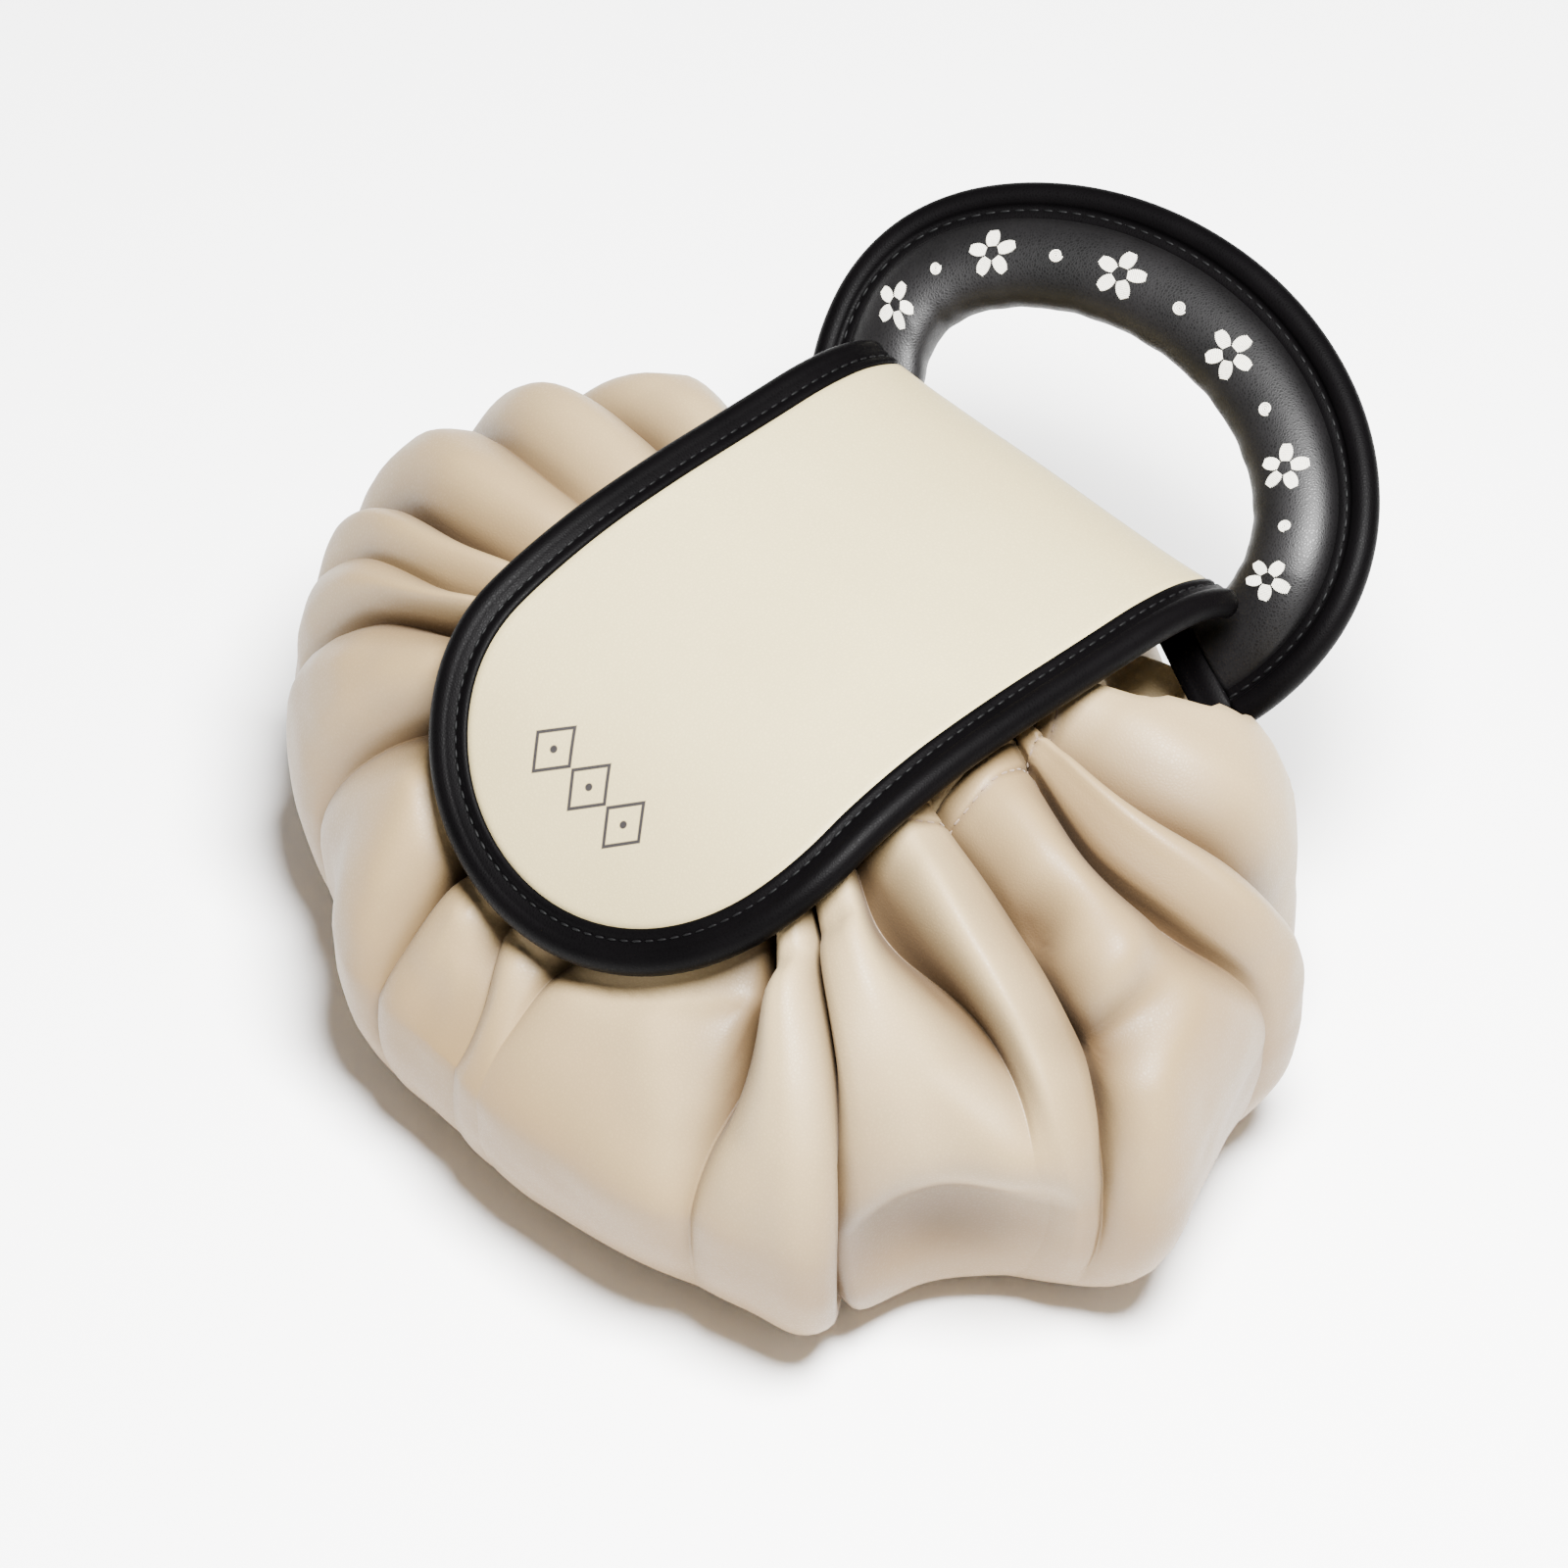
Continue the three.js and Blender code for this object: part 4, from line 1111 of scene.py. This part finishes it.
def buildTab(name, node, side, material):
    s = handle
    point, outward, bend = handleLine(np.array([side * s["sweep"], side * (s["sweep"] - 1.0)]))
    forward = unit(point[0] - point[1])
    inner = -s["padWidth"] / 2 - (tab["inward"] if side > 0 else 0)
    outer = s["padWidth"] / 2 + s["pipingWidth"] * tab["outerShare"]
    a = turnRound(28)
    across = rounded(np.cos(a), tab["corners"][0]) * (outer - inner) / 2 + (outer + inner) / 2
    high = rounded(np.sin(a), tab["corners"][1]) * tab["thick"] / 2
    rings = []
    for share in np.linspace(0, 1, tab["rings"]):
        # thickest a quarter of the way along, tapered over its last fifth
        swell = 1 + 0.1 * math.sin(share * math.pi * 2) - 0.35 * max(0, share - 0.8) / 0.2
        flat = point[0] + forward * (tab["gap"] + tab["length"] * share) + outward[0] * across[:, None]
        rings.append(handlePoint(flat, high * swell, bend[0]))
    return settle(tubePiece(name, rings, material), node)


# Stitches

def realized(tree, made, start, end):
    # real geometry in the given material goes out of the tree
    real = addNode(tree, "GeometryNodeRealizeInstances", {0: made.outputs[0]})
    inputs = {"Geometry": real.outputs[0], "Material": start["Material"]}
    colored = addNode(tree, "GeometryNodeSetMaterial", inputs)
    feed(tree, end, {"Geometry": colored.outputs[0]})
    return tree


def makeStitchTree():
    # stitches laid along a curve, each a rounded grain of thread turned along it
    tree, start, end = newGroup(
        "GeometryNodeTree", "stitchLine",
        [("Geometry", "Geometry", None), ("Pitch", "Float", 0.003), ("Length", "Float", 0.0022),
         ("Thickness", "Float", 0.0006), ("Unevenness", "Float", 0.08), ("Seed", "Int", 3),
         ("Material", "Material", None)],
        [("Geometry", "Geometry")],
    )
    work = partial(addNode, tree)
    inputs = {"Curve": start["Geometry"], "Length": start["Pitch"]}
    spaced = work("GeometryNodeResampleCurve", inputs, mode="LENGTH")
    grain = work("GeometryNodeMeshUVSphere", {"Segments": 8, "Rings": 6, "Radius": 0.5})
    tangent = work("GeometryNodeInputTangent", {})
    turn = work("FunctionNodeAlignRotationToVector", {"Vector": tangent.outputs[0]}, axis="X")
    thick = start["Thickness"]
    size = work("ShaderNodeCombineXYZ", {"X": start["Length"], "Y": thick, "Z": thick})
    low, high = (mathNode(tree, way, 1.0, start["Unevenness"]) for way in ("SUBTRACT", "ADD"))
    inputs = {2: low, 3: high, "Seed": start["Seed"]}
    chance = work("FunctionNodeRandomValue", inputs, data_type="FLOAT")
    inputs = {0: size.outputs[0], "Scale": chance.outputs[1]}
    scaled = work("ShaderNodeVectorMath", inputs, operation="SCALE")
    laid = work("GeometryNodeInstanceOnPoints", {
        "Points": spaced.outputs[0], "Instance": grain.outputs["Mesh"], "Rotation": turn.outputs[0],
        "Scale": scaled.outputs[0],
    })
    return realized(tree, laid, start, end)


def makeThreadTree():
    # every short path of a mesh becomes one laid thread
    tree, start, end = newGroup(
        "GeometryNodeTree", "laidThread",
        [("Geometry", "Geometry", None), ("Radius", "Float", 0.0002), ("Sides", "Int", 6),
         ("Material", "Material", None)],
        [("Geometry", "Geometry")],
    )
    work = partial(addNode, tree)
    paths = work("GeometryNodeMeshToCurve", {0: start["Geometry"]})
    inputs = {"Radius": start["Radius"], "Resolution": start["Sides"]}
    circle = work("GeometryNodeCurvePrimitiveCircle", inputs)
    swept = work("GeometryNodeCurveToMesh", {
        "Curve": paths.outputs[0], "Profile Curve": circle.outputs[0], "Fill Caps": True,
    })
    return realized(tree, swept, start, end)


def grown(name, source, tree, settings):
    # runs a tree on a source object and keeps the result as a plain mesh
    modifier = source.modifiers.new(tree.name, "NODES")
    modifier.node_group = tree
    sockets = {item.name: item.identifier for item in tree.interface.items_tree if item.in_out == "INPUT"}
    for label, value in settings.items():
        modifier[sockets[label]] = value
    bpy.context.view_layer.update()
    shape = bpy.data.meshes.new_from_object(source.evaluated_get(bpy.context.evaluated_depsgraph_get()))
    shape.name = name
    shape.shade_smooth()
    bpy.data.objects.remove(source)
    return intoScene(name, shape)


def curveSource(name, paths):
    data = bpy.data.curves.new(name, "CURVE")
    data.dimensions = "3D"
    for path in paths:
        spline = data.splines.new("POLY")
        spline.points.add(len(path) - 1)
        flat = np.concatenate([np.asarray(path) * mm, np.ones((len(path), 1))], 1)
        spline.points.foreach_set("co", flat.ravel())
    return intoScene(name, data)


def pathSource(name, paths):
    points, edges = [], []
    for path in paths:
        edges += [(len(points) + i, len(points) + i + 1) for i in range(len(path) - 1)]
        points += [tuple(p * mm) for p in path]
    mesh = bpy.data.meshes.new(name)
    mesh.from_pydata(points, edges, [])
    return intoScene(name, mesh)


# Rows of stitches: spacing, length and thickness, the seed of their unevenness, the slot they are part of
stitches = {
    "bindingStitches": (3.1, 2.3, 0.62, 3, "black_leather"),
    "handleStitches": (3.4, 2.5, 0.62, 5, "black_leather"),
    "hemStitches": (3.2, 2.0, 0.5, 7, "cream_leather"),
}

# Where the rows lie beside the binding's bead, in the groove of the piping and on the seam under the hem
stitchPlaces = {
    "inside": -0.6,
    "sunk": 0.28,
    "groove": 1.75,
    "grooveHigh": 1.45,
    "grooveEnd": 1,
    "proud": 0.15,
}


def seamPath(wall, t):
    row = wall[np.argmin(np.abs(t - pouch["seamAt"]))]
    line = row + unit(row * [1, 1, 0] + [0, 0, 80]) * stitchPlaces["proud"]
    return np.concatenate([line, line[:1]])


def buildStitches(tree, seam, black, cream):
    s = stitchPlaces
    face = flap["thickness"] / 2 + binding["slot"] + binding["flangeThick"]
    sweeps = np.linspace(handle["sweep"] - s["grooveEnd"], s["grooveEnd"] - handle["sweep"], 200)
    groove = np.full((len(sweeps), 1), handle["padWidth"] / 2 + s["groove"])
    high = np.full(groove.shape, s["grooveHigh"])
    grooves = [handleRings(sweeps, groove, high * side)[:, 0] for side in (1, -1)]
    rows = [
        ("bindingStitches", "bindingSeam", [bindingPath(s["inside"], face - s["sunk"])], black),
        ("handleStitches", "handleSeam", grooves, black),
        ("hemStitches", "hemSeam", [seam], cream),
    ]
    for name, sourceName, paths, thread in rows:
        pitch, length, thick, seed, slotName = stitches[name]
        piece = grown(name, curveSource(sourceName, paths), tree, {
            "Pitch": pitch * mm, "Length": length * mm, "Thickness": thick * mm, "Seed": seed,
            "Material": thread,
        })
        settle(piece, None)


# Embroidery on the handle: small five-petal flowers with a knot between each pair

embroidery = {
    "flowers": 6,
    "from": -80,
    "to": 84,
    "petals": 5,
    "petalLong": 4.6,
    "petalWide": 3.0,
    "core": 1.2,
    "thread": 0.21,
    "knot": 1.5,
    "knotTurns": 3,
    "ringRadius": 52,  # turns a length along the pad into degrees of its sweep
    "closeness": 1.9,  # from one strand of a petal to the next, in radii of the thread
    "strands": (0.12, 0.98),
    "sunk": 0.4,
}


def padSurface(sweep, offset):
    # a point on the upper face of the pad, at an offset from its middle
    s = handle
    share = np.clip(offset / (s["padWidth"] / 2), -1, 1)
    thick = mix(s["endThick"], s["padThick"], padShare(sweep))
    height = thick / 2 * np.sqrt(1 - share ** 2) ** s["padRound"]
    point, outward, bend = handleLine(np.asarray(sweep, float))
    flat = point + outward * np.asarray(offset)[..., None]
    return handlePoint(flat, height + embroidery["thread"] * embroidery["sunk"], bend)


def strandOn(sweep, local):
    # local is in mm round the flower's middle: along the ring and outward from its line
    return padSurface(sweep + local[:, 0] * math.degrees(1 / embroidery["ringRadius"]), local[:, 1])


def buildEmbroidery(tree, material):
    s = embroidery
    paths = []
    sweeps = np.linspace(s["from"], s["to"], s["flowers"])
    for sweep in sweeps:
        for petal in range(s["petals"]):
            a = math.radians(90 + 360 * petal / s["petals"])
            long = np.array([math.cos(a), math.sin(a)])
            side = np.array([-math.sin(a), math.cos(a)])
            for place in np.arange(*s["strands"], s["closeness"] * s["thread"] / s["petalLong"]):
                half = s["petalWide"] / 2 * math.sqrt(max(0.02, 1 - (2 * place - 1) ** 2))
                ends = np.linspace(-half, half, 4)
                local = long * (s["core"] + s["petalLong"] * place) + side * ends[:, None]
                paths.append(strandOn(sweep, local))
    for sweep in (sweeps[1:] + sweeps[:-1]) / 2:
        turns = np.linspace(0, 2 * math.pi * s["knotTurns"], 40)
        radius = np.linspace(0.1, s["knot"], 40)
        local = np.stack([np.cos(turns) * radius, np.sin(turns) * radius], -1)
        paths.append(strandOn(sweep, local))
    piece = grown("handleEmbroidery", pathSource("handleThread", paths), tree, {
        "Radius": s["thread"] * mm, "Material": material,
    })
    return settle(piece, None)


def buildFloor():
    half = studio["floorHalf"]  # mm
    corners = np.array([(-half, -half, 0), (half, -half, 0), (half, half, 0), (-half, half, 0)])
    mesh = bpy.data.meshes.new("studioFloor")
    mesh.from_pydata((corners * mm).tolist(), [], [(0, 1, 2, 3)])
    mesh.materials.append(plainFloor())
    intoScene("studioFloor", mesh)


makeCamera()
makeStudio()
buildFloor()
print("camera, light and floor made")

creamBody = creamLeather("creamLeatherBody", bodySettings, True)
creamFlap = creamLeather("creamLeatherFlap", flapSettings, False, printed=True)
creamHem = creamLeather("creamLeatherHem", bodySettings, False)
black = blackLeather("blackLeather", blackSettings)
padBlack = blackLeather("blackLeatherPad", padSettings)
backing = threadMaterial("clothBacking", (0.62, 0.57, 0.48), 0.9, 0.9)
blackThread = threadMaterial("blackThread", (0.002, 0.002, 0.0022), 0.6, 0.4, sheen=0, specular=0.12)
creamThread = threadMaterial("creamThread", (0.72, 0.69, 0.60), 0.55, 0.4)
seamThread = threadMaterial("seamThread", (0.20, 0.13, 0.08), 0.7, 0.4)
cordThread = threadMaterial("cordThread", (0.09, 0.06, 0.045), 0.8, 0.5)
print("materials made")

pouchPiece, pouchWall, wallPlaces = buildPouch(creamBody, backing)
rimFrames = hemFrames(pouchWall)
buildHem(rimFrames, creamHem)
buildCord(rimFrames, cordThread)
print("pouch, hem and cord made")

flapPiece = buildFlap(creamFlap)
buildBinding(black)
print("flap made")

padPiece = buildPad(padBlack)
buildPiping(black)
buildTab("tabLeft", "handle_tab_left", -1, black)
buildTab("tabRight", "handle_tab_right", 1, black)
print("handle made")

buildStitches(makeStitchTree(), seamPath(pouchWall, wallPlaces), blackThread, seamThread)
buildEmbroidery(makeThreadTree(), creamThread)
print("stitches and embroidery made")
